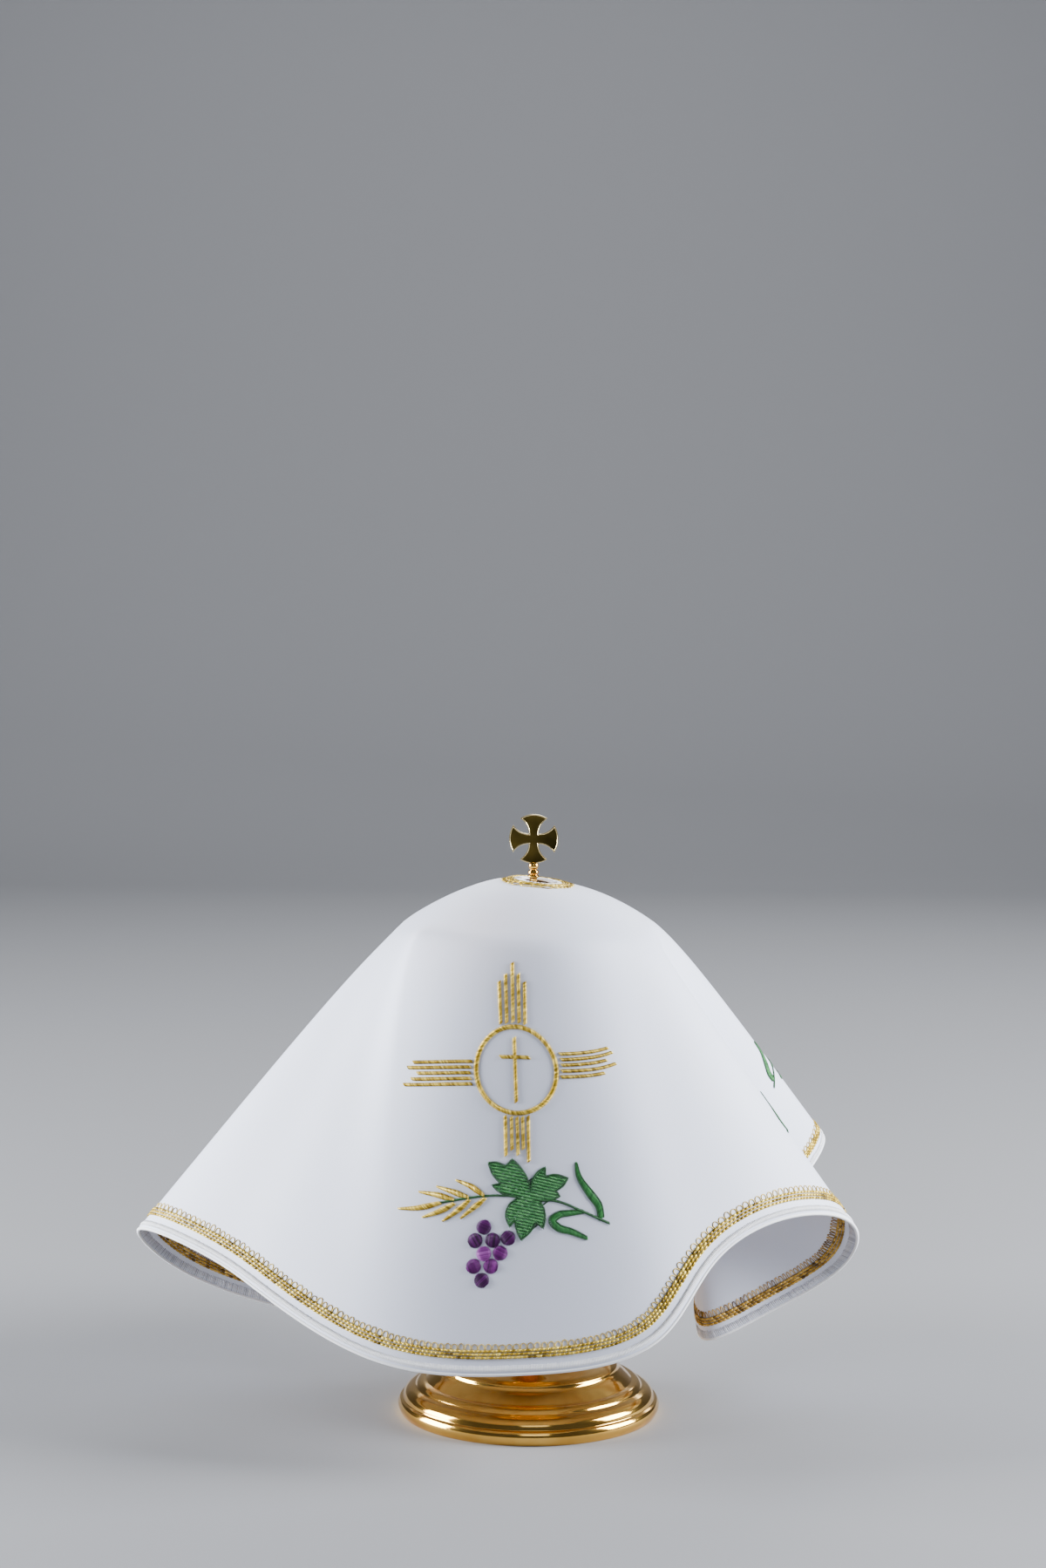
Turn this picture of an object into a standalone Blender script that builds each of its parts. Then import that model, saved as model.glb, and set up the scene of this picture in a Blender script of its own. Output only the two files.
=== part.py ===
"""Ciborium veil: one round white cloth with a neck hole, hung over a closed gilt ciborium.

The cloth lies on the lid's dome, with the finial standing through its neck hole, and falls free from the
lid's edge in five uneven folds that leave the foot bare. Everything is one rigid object with no joint.
Metres, +Z up. The origin is the centre of the foot's flat underside, and the front faces -Y.
"""
import math

import bpy
import numpy as np

MM = 0.001
TURN_STEPS = 36
TURN_MERGE = 0.01
SEAT_GAP = 0.3

# The cloth, in millimetres.
CLOTH_THICKNESS = 1.6
NECK_RADIUS = 8.6
CROWN_HEIGHT = 269.6
CROWN_FALL = 0.0050
SIDE_LIFT = 3.8
SIDE_LIFT_START = 10.0
AROUND_STEPS = 116
DOME_STEPS = 4
HANG_STEPS = 11
HANG_SPREAD = 1.35
HEM_SAMPLES = 1441
HEM_TURN_WEIGHT = 16.0
KNEE_SHARE = 0.3

# One row for each fold line. flat_deg is its place round the flat circle of cloth, with the front at 270.
# The line leaves the lid's dome at leave_deg and leave_mm from the axis, turns down over turn_mm, and its
# hem end hangs at hem_deg, hem_mm from the axis and height_mm above the table.
FOLD_COLUMNS = ("flat_deg", "leave_deg", "leave_mm", "turn_mm", "hem_deg", "hem_mm", "height_mm")
FOLDS = {
    "left crest": (218, 190, 68, 24, 180, 197, 90),
    "left cheek": (233, 201, 65, 18, 198, 161, 87),
    "left slope": (241, 210, 63, 15, 208, 148, 77),
    "front left": (254, 225, 61, 11, 233, 130, 55),
    "front": (270, 260, 61, 10, 268, 115, 50),
    "front right": (285, 290, 61, 10, 301, 122, 66),
    "front step": (295, 306, 61, 11, 316, 122, 97),
    "right brow": (308, 318, 61, 14, 339, 142, 113),
    "right crest": (320, 328, 61, 18, 357, 164, 95),
    "right lip": (328, 335, 61, 16, 4, 157, 69),
    "right return": (336, 341, 61, 12, 7, 122, 50),
    "right gutter": (344, 348, 60, 10, 7, 91, 34),
    "right wall": (352, 355, 60, 12, 22, 96, 44),
    "right back face": (8, 5, 60, 15, 35, 158, 82),
    "right back crest": (23, 17, 60, 20, 42, 211, 115),
    "right back turn": (36, 36, 61, 14, 55, 172, 92),
    "back right gutter": (56, 61, 61, 10, 63, 104, 50),
    "back crest right": (80, 83, 61, 18, 84, 190, 98),
    "back crest left": (97, 97, 61, 18, 101, 188, 93),
    "back left gutter": (120, 118, 61, 10, 122, 102, 48),
    "left back turn": (140, 142, 61, 14, 127, 164, 84),
    "left back crest": (153, 156, 61, 18, 138, 203, 108),
    "left back face": (170, 165, 61, 14, 150, 146, 72),
    "left gutter": (186, 172, 62, 11, 161, 92, 46),
    "left return": (202, 181, 65, 17, 170, 138, 52),
}

# Soft creases in the hanging cloth: where each starts and ends round the flat circle, how wide it is in flat
# degrees, and how far it stands out: start_deg, end_deg, width_deg and height_mm.
CREASES = {
    "front left crease": (247, 256, 4.5, 1.6),
    "back crease": (80, 74, 5.0, 1.2),
}
CREASE_TOP_SHARE = 0.12

# The cloth round the neck stands off the lid, higher on the left, and a ridge runs in from the back left fold.
NECK_LIFT = 1.8
NECK_LIFT_DEG = 180
NECK_LIFT_FADE = 1.5
BACK_RIDGE_DEG = 128
BACK_RIDGE_WIDTH = 24
BACK_RIDGE_LIFT = 1.2

# The ciborium: outlines of its turned pieces as (radius, height) in millimetres, from the top down.
FOOT_OUTLINE = [
    (9.2, 78.0), (9.5, 72.5), (10.3, 64.0), (11.6, 56.5), (13.6, 49.0), (16.6, 41.5), (20.6, 35.4), (25.2, 31.4),
    (29.6, 30.0), (30.4, 28.8), (36.8, 27.0), (43.4, 25.0), (44.6, 24.2), (45.0, 22.8), (47.6, 20.6),
    (51.2, 17.4), (52.0, 16.6), (54.2, 16.4), (56.4, 14.9), (57.2, 13.6), (59.4, 12.9), (61.6, 11.5),
    (63.0, 9.6), (63.4, 7.4), (65.0, 7.0), (66.0, 4.6), (65.6, 2.2), (64.4, 0.0),
]
KNOP_OUTLINE = [
    (9.4, 118.0), (11.4, 116.8), (11.4, 114.6), (8.6, 112.6), (9.2, 110.4), (14.6, 107.4), (18.0, 102.6),
    (18.6, 98.2), (17.2, 93.6), (13.0, 89.4), (8.8, 86.8), (8.4, 84.4), (10.8, 82.6), (10.8, 79.4), (9.4, 78.3),
]
BOWL_WALL = 1.6
BOWL_OUTLINE = [
    (58.0, 232.0), (58.0, 206.0), (57.4, 182.0), (54.6, 162.0), (49.2, 146.0), (40.4, 133.6), (28.6, 125.4),
    (16.6, 121.4), (9.4, 118.3),
]
LID_WALL = 1.6
LID_CROWN_RADIUS = 33.0
LID_TOUCH_RADIUS = 50.0
LID_EDGE_RADIUS = 57.6
LID_EDGE_DROP = 2.2
LID_BAND_RADIUS = 59.0
LID_BAND_BOTTOM = 232.3
LID_BAND_TOP = 238.6
LID_BAND_SLOPE = 1.2
LID_CROWN_STEPS = 5
BALUSTER_OUTLINE = [
    (1.0, 279.2), (2.0, 278.6), (2.4, 277.6), (2.1, 276.6), (1.7, 276.3), (2.6, 275.6), (2.7, 274.9), (2.0, 274.3),
    (2.9, 273.7), (2.9, 273.2), (1.9, 272.7), (2.1, 268.6), (2.9, 265.2), (4.4, 264.2), (4.8, 263.3),
]
BALUSTER_STEPS = 24
CROSS_RADIUS = 12.25
CROSS_THICKNESS = 2.0
CROSS_EDGE = 0.3
CROSS_WAIST = 2.2
CROSS_ARM_HALF_DEG = 33.5
CROSS_SIDE_HOLLOW = 0.75
CROSS_ARC_STEPS = 8
CROSS_SIDE_STEPS = 5


def clear_scene():
    """Start from an empty scene."""
    for old in list(bpy.data.objects):
        bpy.data.objects.remove(old, do_unlink=True)


def finish_material(name, colour, roughness, metallic):
    """A plain principled finish for one piece."""
    material = bpy.data.materials.new(name)
    material.use_nodes = True
    shader = material.node_tree.nodes["Principled BSDF"]
    shader.inputs["Base Color"].default_value = (*colour, 1.0)
    shader.inputs["Roughness"].default_value = roughness
    shader.inputs["Metallic"].default_value = metallic
    return material


def add_piece(name, data, collection, material):
    """Put a mesh or curve in the object's collection under its own name."""
    data.materials.append(material)
    piece = bpy.data.objects.new(name, data)
    collection.objects.link(piece)
    return piece


def closed_spline(knots, values, period):
    """The bends of the smooth closed curve that passes through values at knots."""
    count = len(knots)
    gaps = np.diff(np.append(knots, knots[0] + period))
    slopes = (np.roll(values, -1, axis=0) - values) / gaps[:, None]
    system = np.zeros((count, count))
    for i in range(count):
        system[i, i - 1] += gaps[i - 1]
        system[i, i] += 2 * (gaps[i - 1] + gaps[i])
        system[i, (i + 1) % count] += gaps[i]
    bends = np.linalg.solve(system, 6 * (slopes - np.roll(slopes, 1, axis=0)))
    return gaps, bends


def read_folds():
    """The fold table as knots round the cloth and, at each, where the line leaves the lid and where it ends."""
    rows = sorted((dict(zip(FOLD_COLUMNS, row)) for row in FOLDS.values()), key=lambda row: row["flat_deg"])
    knots = np.array([row["flat_deg"] for row in rows], float)
    values = []
    for row in rows:
        twist = (row["leave_deg"] - row["flat_deg"] + 180) % 360 - 180
        angle = math.radians(row["hem_deg"])
        hem = (row["hem_mm"] * math.cos(angle), row["hem_mm"] * math.sin(angle), row["height_mm"])
        values.append((twist, row["leave_mm"], row["turn_mm"], *hem))
    values = np.array(values, float)
    gaps, bends = closed_spline(knots, values, 360.0)
    return knots, values, gaps, bends


def fold_line(folds, flat_deg):
    """Twist, leaving radius, turn and hem end of the fold line at a place round the flat cloth."""
    knots, values, gaps, bends = folds
    place = (flat_deg - knots[0]) % 360.0 + knots[0]
    i = int(np.searchsorted(knots, place, side="right")) - 1
    j = (i + 1) % len(knots)
    a = (place - knots[i]) / gaps[i]
    b = 1 - a
    curve = gaps[i] ** 2 / 6 * ((b ** 3 - b) * bends[i] + (a ** 3 - a) * bends[j])
    return b * values[i] + a * values[j] + curve


def dome_height(radius, angle_deg=0.0):
    """Height of the cloth's middle over the lid: it lies on the right, and stands a little off on the left."""
    side = 0.5 - 0.5 * math.cos(math.radians(angle_deg))
    return CROWN_HEIGHT - CROWN_FALL * radius ** 2 + SIDE_LIFT * side * radius / (radius + SIDE_LIFT_START)


def neck_lift(angle_deg, radius, leave):
    """How far the cloth stands off the dome near the neck and along the back left ridge."""
    fade = max(0.0, 1 - (radius - NECK_RADIUS) / (leave - NECK_RADIUS))
    side = 0.5 + 0.5 * math.cos(math.radians(angle_deg - NECK_LIFT_DEG))
    off = (angle_deg - BACK_RIDGE_DEG + 180) % 360 - 180
    ridge = math.exp(-(off / BACK_RIDGE_WIDTH) ** 2) * math.sin(math.pi * fade) ** 2
    return NECK_LIFT * side * fade ** NECK_LIFT_FADE + BACK_RIDGE_LIFT * ridge


def crease_height(flat_deg, hang):
    """How far the soft creases stand out at a place in the hanging cloth."""
    total = 0.0
    for start, end, width, height in CREASES.values():
        middle = start + (end - start) * hang
        off = (flat_deg - middle + 180) % 360 - 180
        down = CREASE_TOP_SHARE + (1 - CREASE_TOP_SHARE) * hang
        total += height * math.exp(-(off / width) ** 2) * math.sin(math.pi * down)
    return total


def veil_point(folds, flat_deg, run):
    """A point on the cloth's middle: run is 0 at the neck hole, 1 where the cloth leaves the lid, 2 at the hem."""
    twist, leave, turn, *hem = fold_line(folds, flat_deg)
    leave_deg = flat_deg + twist
    angle = math.radians(leave_deg)
    outward = np.array([math.cos(angle), math.sin(angle), 0.0])
    if run <= 1:
        radius = NECK_RADIUS + (leave - NECK_RADIUS) * run
        height = dome_height(radius, leave_deg) + neck_lift(leave_deg, radius, leave)
        return outward * radius + np.array([0.0, 0.0, height])
    hang = run - 1
    start = outward * leave + np.array([0.0, 0.0, dome_height(leave, leave_deg)])
    fall = np.array([0.0, 0.0, -2 * CROWN_FALL * leave])
    corner = start + (outward + fall) / np.linalg.norm(outward + fall) * turn
    end = np.array(hem)
    knee = corner + (end - corner) * KNEE_SHARE
    point = ((1 - hang) ** 3 * start + 3 * (1 - hang) ** 2 * hang * corner
             + 3 * (1 - hang) * hang ** 2 * knee + hang ** 3 * end)
    level = np.array([point[0], point[1], 0.0])
    return point + level / np.linalg.norm(level) * crease_height(flat_deg, hang)


def spread_places(folds, count):
    """Places round the cloth, closer together where the hem turns tightly."""
    fine = np.linspace(0, 360, HEM_SAMPLES)
    hem = np.array([fold_line(folds, place)[3:] for place in fine])
    step = np.diff(hem, axis=0)
    length = np.linalg.norm(step, axis=1)
    heading = step / length[:, None]
    cosine = np.clip((heading * np.roll(heading, 1, axis=0)).sum(axis=1), -1, 1)
    weight = length + HEM_TURN_WEIGHT * np.arccos(cosine)
    total = np.concatenate([[0], np.cumsum(weight)])
    return np.interp(np.arange(count) / count * total[-1], total, fine)


def runs_down():
    """Shares down the cloth, from the neck to the hem, closer together where it turns over the lid's edge."""
    dome = [i / DOME_STEPS for i in range(DOME_STEPS)]
    hang = [1 + (i / HANG_STEPS) ** HANG_SPREAD for i in range(HANG_STEPS + 1)]
    return dome + hang


def make_cloth(collection, material):
    """The veil: an open loft of its fold lines, given its thickness."""
    folds = read_folds()
    places = spread_places(folds, AROUND_STEPS)
    runs = runs_down()
    points = [veil_point(folds, place, run) * MM for run in runs for place in places]
    faces = []
    for row in range(len(runs) - 1):
        for i in range(AROUND_STEPS):
            j = (i + 1) % AROUND_STEPS
            upper, lower = row * AROUND_STEPS, (row + 1) * AROUND_STEPS
            faces.append((upper + i, lower + i, lower + j, upper + j))
    mesh = bpy.data.meshes.new("veil_cloth")
    mesh.from_pydata([tuple(p) for p in points], [], faces)
    mesh.shade_smooth()
    cloth = add_piece("veil_cloth", mesh, collection, material)
    wall = cloth.modifiers.new("thickness", "SOLIDIFY")
    wall.thickness = CLOTH_THICKNESS * MM
    wall.offset = 0.0
    wall.use_even_offset = True
    return cloth


def turned_piece(name, outline, collection, material, steps=TURN_STEPS):
    """A piece turned on the axis from its outline, top to bottom down the outer side."""
    mesh = bpy.data.meshes.new(name)
    points = [(radius * MM, 0.0, height * MM) for radius, height in outline]
    edges = [(i, i + 1) for i in range(len(points) - 1)]
    mesh.from_pydata(points, edges, [])
    piece = add_piece(name, mesh, collection, material)
    screw = piece.modifiers.new("turning", "SCREW")
    screw.steps = steps
    screw.render_steps = steps
    screw.use_merge_vertices = True
    screw.merge_threshold = TURN_MERGE * MM
    screw.use_smooth_shade = True
    return piece


def solid_outline(outline):
    """A full round: its outline runs out from the axis at the top and back to it at the bottom."""
    return [(0.0, outline[0][1]), *outline, (0.0, outline[-1][1])]


def inner_side(outline, wall):
    """The same outline moved inwards by the wall, from the bottom up."""
    moved = []
    for i, (radius, height) in enumerate(outline):
        before, after = outline[max(i - 1, 0)], outline[min(i + 1, len(outline) - 1)]
        along = (after[0] - before[0], after[1] - before[1])
        size = math.hypot(*along)
        moved.append((radius + along[1] / size * wall, height - along[0] / size * wall))
    return moved[::-1]


def make_bowl(collection, material):
    """The cup: a spun wall with a closed bottom, open at the top."""
    inside = [(radius, min(height, BOWL_OUTLINE[0][1])) for radius, height in inner_side(BOWL_OUTLINE, BOWL_WALL)]
    floor = (0.0, inside[1][1])
    outline = [floor, *inside[1:], *BOWL_OUTLINE, (0.0, BOWL_OUTLINE[-1][1])]
    return turned_piece("ciborium_bowl", outline, collection, material)


def lid_top_height(radius):
    """The lid's top: flat at the crown, then following the cloth's underside."""
    reach = max(radius, LID_CROWN_RADIUS)
    steepness = math.hypot(1, 2 * CROWN_FALL * reach)
    past = max(0.0, radius - LID_TOUCH_RADIUS) / (LID_EDGE_RADIUS - LID_TOUCH_RADIUS)
    return dome_height(reach) - (CLOTH_THICKNESS / 2 + SEAT_GAP) * steepness - LID_EDGE_DROP * past ** 2


def make_lid(collection, material):
    """The lid: a low spun dome with an upright band at its edge, hollow underneath."""
    radii = np.linspace(LID_CROWN_RADIUS, LID_EDGE_RADIUS, LID_CROWN_STEPS + 1)
    dome = [(radius, lid_top_height(radius)) for radius in radii]
    band = [(LID_EDGE_RADIUS, LID_BAND_TOP + LID_BAND_SLOPE), (LID_BAND_RADIUS, LID_BAND_TOP),
            (LID_BAND_RADIUS, LID_BAND_BOTTOM)]
    inner_radius = LID_EDGE_RADIUS - LID_WALL
    under = [(inner_radius, LID_BAND_BOTTOM), (inner_radius, dome[-1][1] - LID_WALL)]
    under += [(radius - LID_WALL / 2, height - LID_WALL) for radius, height in dome[-2::-1]]
    outline = [(0.0, dome[0][1]), *dome, *band, *under, (0.0, dome[0][1] - LID_WALL)]
    return turned_piece("ciborium_lid", outline, collection, material)


def cross_outline():
    """Outline of a cross with four widening arms inside one circle, anticlockwise."""
    points = []
    corner = math.radians(CROSS_ARM_HALF_DEG)
    tip = (CROSS_RADIUS * math.cos(corner), CROSS_RADIUS * math.sin(corner))
    chord = math.hypot(tip[0] - CROSS_WAIST, tip[1] - CROSS_WAIST)
    hollow = ((tip[1] - CROSS_WAIST) / chord, -(tip[0] - CROSS_WAIST) / chord)
    for arm in range(4):
        turn = math.pi / 2 * arm
        local = []
        for i in range(CROSS_ARC_STEPS + 1):
            angle = -corner + 2 * corner * i / CROSS_ARC_STEPS
            local.append((CROSS_RADIUS * math.cos(angle), CROSS_RADIUS * math.sin(angle)))
        for i in range(1, CROSS_SIDE_STEPS):
            share = i / CROSS_SIDE_STEPS
            depth = CROSS_SIDE_HOLLOW * 4 * share * (1 - share)
            local.append((tip[0] + (CROSS_WAIST - tip[0]) * share + hollow[0] * depth,
                          tip[1] + (CROSS_WAIST - tip[1]) * share + hollow[1] * depth))
        local.append((CROSS_WAIST, CROSS_WAIST))
        for i in range(1, CROSS_SIDE_STEPS):
            share = 1 - i / CROSS_SIDE_STEPS
            depth = CROSS_SIDE_HOLLOW * 4 * share * (1 - share)
            local.append((tip[1] + (CROSS_WAIST - tip[1]) * share + hollow[1] * depth,
                          tip[0] + (CROSS_WAIST - tip[0]) * share + hollow[0] * depth))
        for x, y in local:
            points.append((x * math.cos(turn) - y * math.sin(turn), x * math.sin(turn) + y * math.cos(turn)))
    return points


def make_cross(collection, material):
    """The finial's flat cross: a plate with small bevelled edges, standing square to the front."""
    curve = bpy.data.curves.new("finial_cross", "CURVE")
    curve.dimensions = "2D"
    curve.fill_mode = "BOTH"
    curve.extrude = (CROSS_THICKNESS / 2 - CROSS_EDGE) * MM
    curve.bevel_depth = CROSS_EDGE * MM
    curve.bevel_resolution = 0
    curve.offset = -CROSS_EDGE * MM
    outline = cross_outline()
    spline = curve.splines.new("POLY")
    spline.points.add(len(outline) - 1)
    for point, (x, y) in zip(spline.points, outline):
        point.co = (x * MM, y * MM, 0.0, 1.0)
    spline.use_cyclic_u = True
    cross = add_piece("finial_cross", curve, collection, material)
    cross.rotation_euler = (math.pi / 2, 0.0, 0.0)
    cross.location = (0.0, 0.0, (BALUSTER_OUTLINE[0][1] + SEAT_GAP + CROSS_RADIUS) * MM)
    return cross


def build():
    """Make the veil and what it hangs over."""
    clear_scene()
    collection = bpy.data.collections.new("ciborium_veil")
    bpy.context.scene.collection.children.link(collection)
    cloth = finish_material("veil_white", (0.83, 0.83, 0.88), 0.62, 0.0)
    gilt = finish_material("gilt_metal", (0.86, 0.60, 0.20), 0.16, 1.0)
    make_cloth(collection, cloth)
    turned_piece("ciborium_foot", solid_outline(FOOT_OUTLINE), collection, gilt)
    turned_piece("ciborium_knop", solid_outline(KNOP_OUTLINE), collection, gilt)
    make_bowl(collection, gilt)
    make_lid(collection, gilt)
    turned_piece("finial_baluster", solid_outline(BALUSTER_OUTLINE), collection, gilt, BALUSTER_STEPS)
    make_cross(collection, gilt)


build()
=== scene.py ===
import math

import bmesh
import bpy
import numpy as np
from mathutils import Matrix, Vector


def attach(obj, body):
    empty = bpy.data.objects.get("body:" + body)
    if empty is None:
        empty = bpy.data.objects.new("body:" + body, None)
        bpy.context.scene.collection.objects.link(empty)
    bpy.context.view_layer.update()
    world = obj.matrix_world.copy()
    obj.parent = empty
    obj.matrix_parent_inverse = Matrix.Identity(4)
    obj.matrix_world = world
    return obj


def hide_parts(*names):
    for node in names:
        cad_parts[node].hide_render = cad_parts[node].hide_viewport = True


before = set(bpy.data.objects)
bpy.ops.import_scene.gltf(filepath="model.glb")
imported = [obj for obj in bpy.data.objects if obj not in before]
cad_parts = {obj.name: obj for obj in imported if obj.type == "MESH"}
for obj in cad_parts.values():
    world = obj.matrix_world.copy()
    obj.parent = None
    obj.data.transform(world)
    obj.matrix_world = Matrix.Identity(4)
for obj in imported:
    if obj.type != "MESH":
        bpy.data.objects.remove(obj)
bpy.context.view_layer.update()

# The foot and stem of the ciborium: one spun round of gilt brass that steps up from its wide rim to the slim
# stem. Its outline is turned on the axis, and polishing has softened the edges of the steps.
MM = 0.001
TURN_STEPS = 144
CORNER_DEG = 36.0
FOOT_OUTLINE = [
    (0.0, 78.0), (9.2, 78.0), (9.5, 72.5), (10.3, 64.0), (11.6, 56.5), (13.6, 49.0), (16.6, 41.5), (20.6, 35.4),
    (25.2, 31.4), (29.6, 30.0), (30.4, 28.8), (36.8, 27.0), (43.4, 25.0), (44.6, 24.2), (45.0, 22.8),
    (47.6, 20.6), (51.2, 17.4), (52.0, 16.6), (54.2, 16.4), (56.4, 14.9), (57.2, 13.6), (59.4, 12.9),
    (61.6, 11.5), (63.0, 9.6), (63.4, 7.4), (65.0, 7.0), (66.0, 4.6), (65.6, 2.2), (64.4, 0.0), (0.0, 0.0),
]


def fair_line(points, fine=1.1):
    """The outline as a smooth line through its points, in steps of this size, with its sharp corners kept."""
    points = np.array(points, float)
    along = np.diff(points, axis=0)
    length = np.linalg.norm(along, axis=1)
    unit = along / length[:, None]
    turn = np.degrees(np.arccos(np.clip((unit[1:] * unit[:-1]).sum(axis=1), -1, 1)))
    fair = [tuple(points[0])]
    for i in range(len(along)):
        first = last = unit[i]
        if i > 0 and turn[i - 1] < CORNER_DEG:
            first = unit[i] * length[i - 1] + unit[i - 1] * length[i]
        if i < len(turn) and turn[i] < CORNER_DEG:
            last = unit[i] * length[i + 1] + unit[i + 1] * length[i]
        first = first / np.linalg.norm(first)
        last = last / np.linalg.norm(last)
        straight = first @ unit[i] > 0.9999 and last @ unit[i] > 0.9999
        parts = 1 if straight else max(2, round(length[i] / fine))
        for k in range(1, parts + 1):
            t = k / parts
            place = ((1 + 2 * t) * (1 - t) ** 2 * points[i] + t * t * (3 - 2 * t) * points[i + 1]
                     + t * (1 - t) ** 2 * first * length[i] - t * t * (1 - t) * last * length[i])
            fair.append((float(place[0]), float(place[1])))
    return fair


def draw_line(name, line):
    """A new piece in edit mode: one point drawn out along a line of places in metres."""
    bpy.ops.object.select_all(action="DESELECT")
    bpy.ops.mesh.primitive_plane_add(size=MM)
    piece = bpy.context.object
    piece.name = piece.data.name = name
    bpy.ops.object.mode_set(mode="EDIT")
    bpy.ops.mesh.select_mode(type="VERT")
    bpy.ops.mesh.select_all(action="SELECT")
    bpy.ops.mesh.merge(type="CENTER")
    bpy.ops.transform.translate(value=line[0])
    for start, end in zip(line, line[1:]):
        step = [after - before for before, after in zip(start, end)]
        bpy.ops.mesh.extrude_region_move(TRANSFORM_OT_translate={"value": step})
    bpy.ops.mesh.select_all(action="SELECT")
    return piece


def soften_edges(piece, width, limit_deg, smooth_deg):
    """Round the sharp edges of a piece a little, as polishing does."""
    soften = piece.modifiers.new("polished edges", "BEVEL")
    soften.width = width * MM
    soften.segments = 2
    soften.limit_method = "ANGLE"
    soften.angle_limit = math.radians(limit_deg)
    bpy.ops.object.modifier_apply(modifier=soften.name)
    bpy.ops.object.shade_smooth_by_angle(angle=math.radians(smooth_deg))


def turn_on_axis(name, outline, edge=0.22, steps=TURN_STEPS):
    """Turn an outline of (radius, height) in millimetres, which starts and ends on the axis."""
    piece = draw_line(name, [(radius * MM, 0, height * MM) for radius, height in outline])
    bpy.ops.mesh.spin(steps=steps, angle=2 * math.pi, center=(0, 0, 0), axis=(0, 0, 1))
    bpy.ops.mesh.select_all(action="SELECT")
    bpy.ops.mesh.remove_doubles(threshold=0.004 * MM)
    bpy.ops.mesh.normals_make_consistent(inside=False)
    bpy.ops.object.mode_set(mode="OBJECT")
    soften_edges(piece, edge, 28, 50)
    return piece


def new_material(name):
    """A new node material, with its nodes, links and shader."""
    material = bpy.data.materials.new(name)
    material.use_nodes = True
    tree = material.node_tree
    return material, tree.nodes, tree.links, tree.nodes["Principled BSDF"]


def add_bump(nodes, links, shader, height, strength, distance):
    """Raise the surface by an output of a material, by a distance in millimetres."""
    bump = nodes.new("ShaderNodeBump")
    bump.inputs["Strength"].default_value = strength
    bump.inputs["Distance"].default_value = distance * MM
    links.new(height, bump.inputs["Height"])
    links.new(bump.outputs["Normal"], shader.inputs["Normal"])


def gilt_finish(name, colour, deeper, roughness):
    """Polished gilt brass: fine turning lines, and soft smudges that dull it here and there."""
    material, nodes, links, shader = new_material(name)
    shader.inputs["Metallic"].default_value = 1.0
    place = nodes.new("ShaderNodeTexCoord")
    smudge = nodes.new("ShaderNodeTexNoise")
    smudge.inputs["Scale"].default_value = 55.0
    smudge.inputs["Detail"].default_value = 5.0
    links.new(place.outputs["Object"], smudge.inputs["Vector"])
    tone = nodes.new("ShaderNodeValToRGB")
    tone.color_ramp.elements[0].position = 0.35
    tone.color_ramp.elements[0].color = (*deeper, 1)
    tone.color_ramp.elements[1].position = 0.65
    tone.color_ramp.elements[1].color = (*colour, 1)
    links.new(smudge.outputs["Fac"], tone.inputs["Fac"])
    links.new(tone.outputs["Color"], shader.inputs["Base Color"])
    dull = nodes.new("ShaderNodeMapRange")
    dull.inputs["To Min"].default_value = roughness * 0.7
    dull.inputs["To Max"].default_value = roughness * 1.5
    links.new(smudge.outputs["Fac"], dull.inputs["Value"])
    links.new(dull.outputs["Result"], shader.inputs["Roughness"])
    lines = nodes.new("ShaderNodeTexNoise")
    lines.inputs["Scale"].default_value = 1.0
    lines.inputs["Detail"].default_value = 3.0
    stretch = nodes.new("ShaderNodeMapping")
    stretch.inputs["Scale"].default_value = (60.0, 60.0, 2600.0)
    links.new(place.outputs["Object"], stretch.inputs["Vector"])
    links.new(stretch.outputs["Vector"], lines.inputs["Vector"])
    add_bump(nodes, links, shader, lines.outputs["Fac"], 0.06, 0.02)
    return material


def fit_metal(piece, node, finish):
    """Give a piece its finish and let it stand for its CAD node."""
    piece.data.materials.clear()
    piece.data.materials.append(finish)
    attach(piece, "root")
    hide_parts(node)


gilt = gilt_finish("polished gilt", (0.88, 0.53, 0.12), (0.76, 0.41, 0.075), 0.10)
foot = turn_on_axis("foot_and_stem", fair_line(FOOT_OUTLINE))
fit_metal(foot, "ciborium_foot", gilt)

# The knop, where the stem is held: a round bulb between two beads, turned in one piece and polished.
KNOP_OUTLINE = [
    (0.0, 118.0), (9.4, 118.0), (11.4, 116.8), (11.4, 114.6), (8.6, 112.6), (9.2, 110.4), (14.6, 107.4),
    (18.0, 102.6), (18.6, 98.2), (17.2, 93.6), (13.0, 89.4), (8.8, 86.8), (8.4, 84.4), (10.8, 82.6),
    (10.8, 79.4), (9.4, 78.3), (0.0, 78.3),
]
knop = turn_on_axis("knop", fair_line(KNOP_OUTLINE))
fit_metal(knop, "ciborium_knop", gilt)

# The bowl of the cup: a spun wall 1.6 mm thick with a round bottom, open at the top under the lid.
BOWL_WALL = 1.6
BOWL_OUTLINE = [
    (58.0, 232.0), (58.0, 206.0), (57.4, 182.0), (54.6, 162.0), (49.2, 146.0), (40.4, 133.6), (28.6, 125.4),
    (16.6, 121.4), (9.4, 118.3),
]


def inner_side(outline, wall):
    """The same outline moved inwards by the wall, from the bottom up."""
    moved = []
    for i, (radius, height) in enumerate(outline):
        before, after = outline[max(i - 1, 0)], outline[min(i + 1, len(outline) - 1)]
        along = (after[0] - before[0], after[1] - before[1])
        size = math.hypot(*along)
        moved.append((radius + along[1] / size * wall, height - along[0] / size * wall))
    return moved[::-1]


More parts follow.
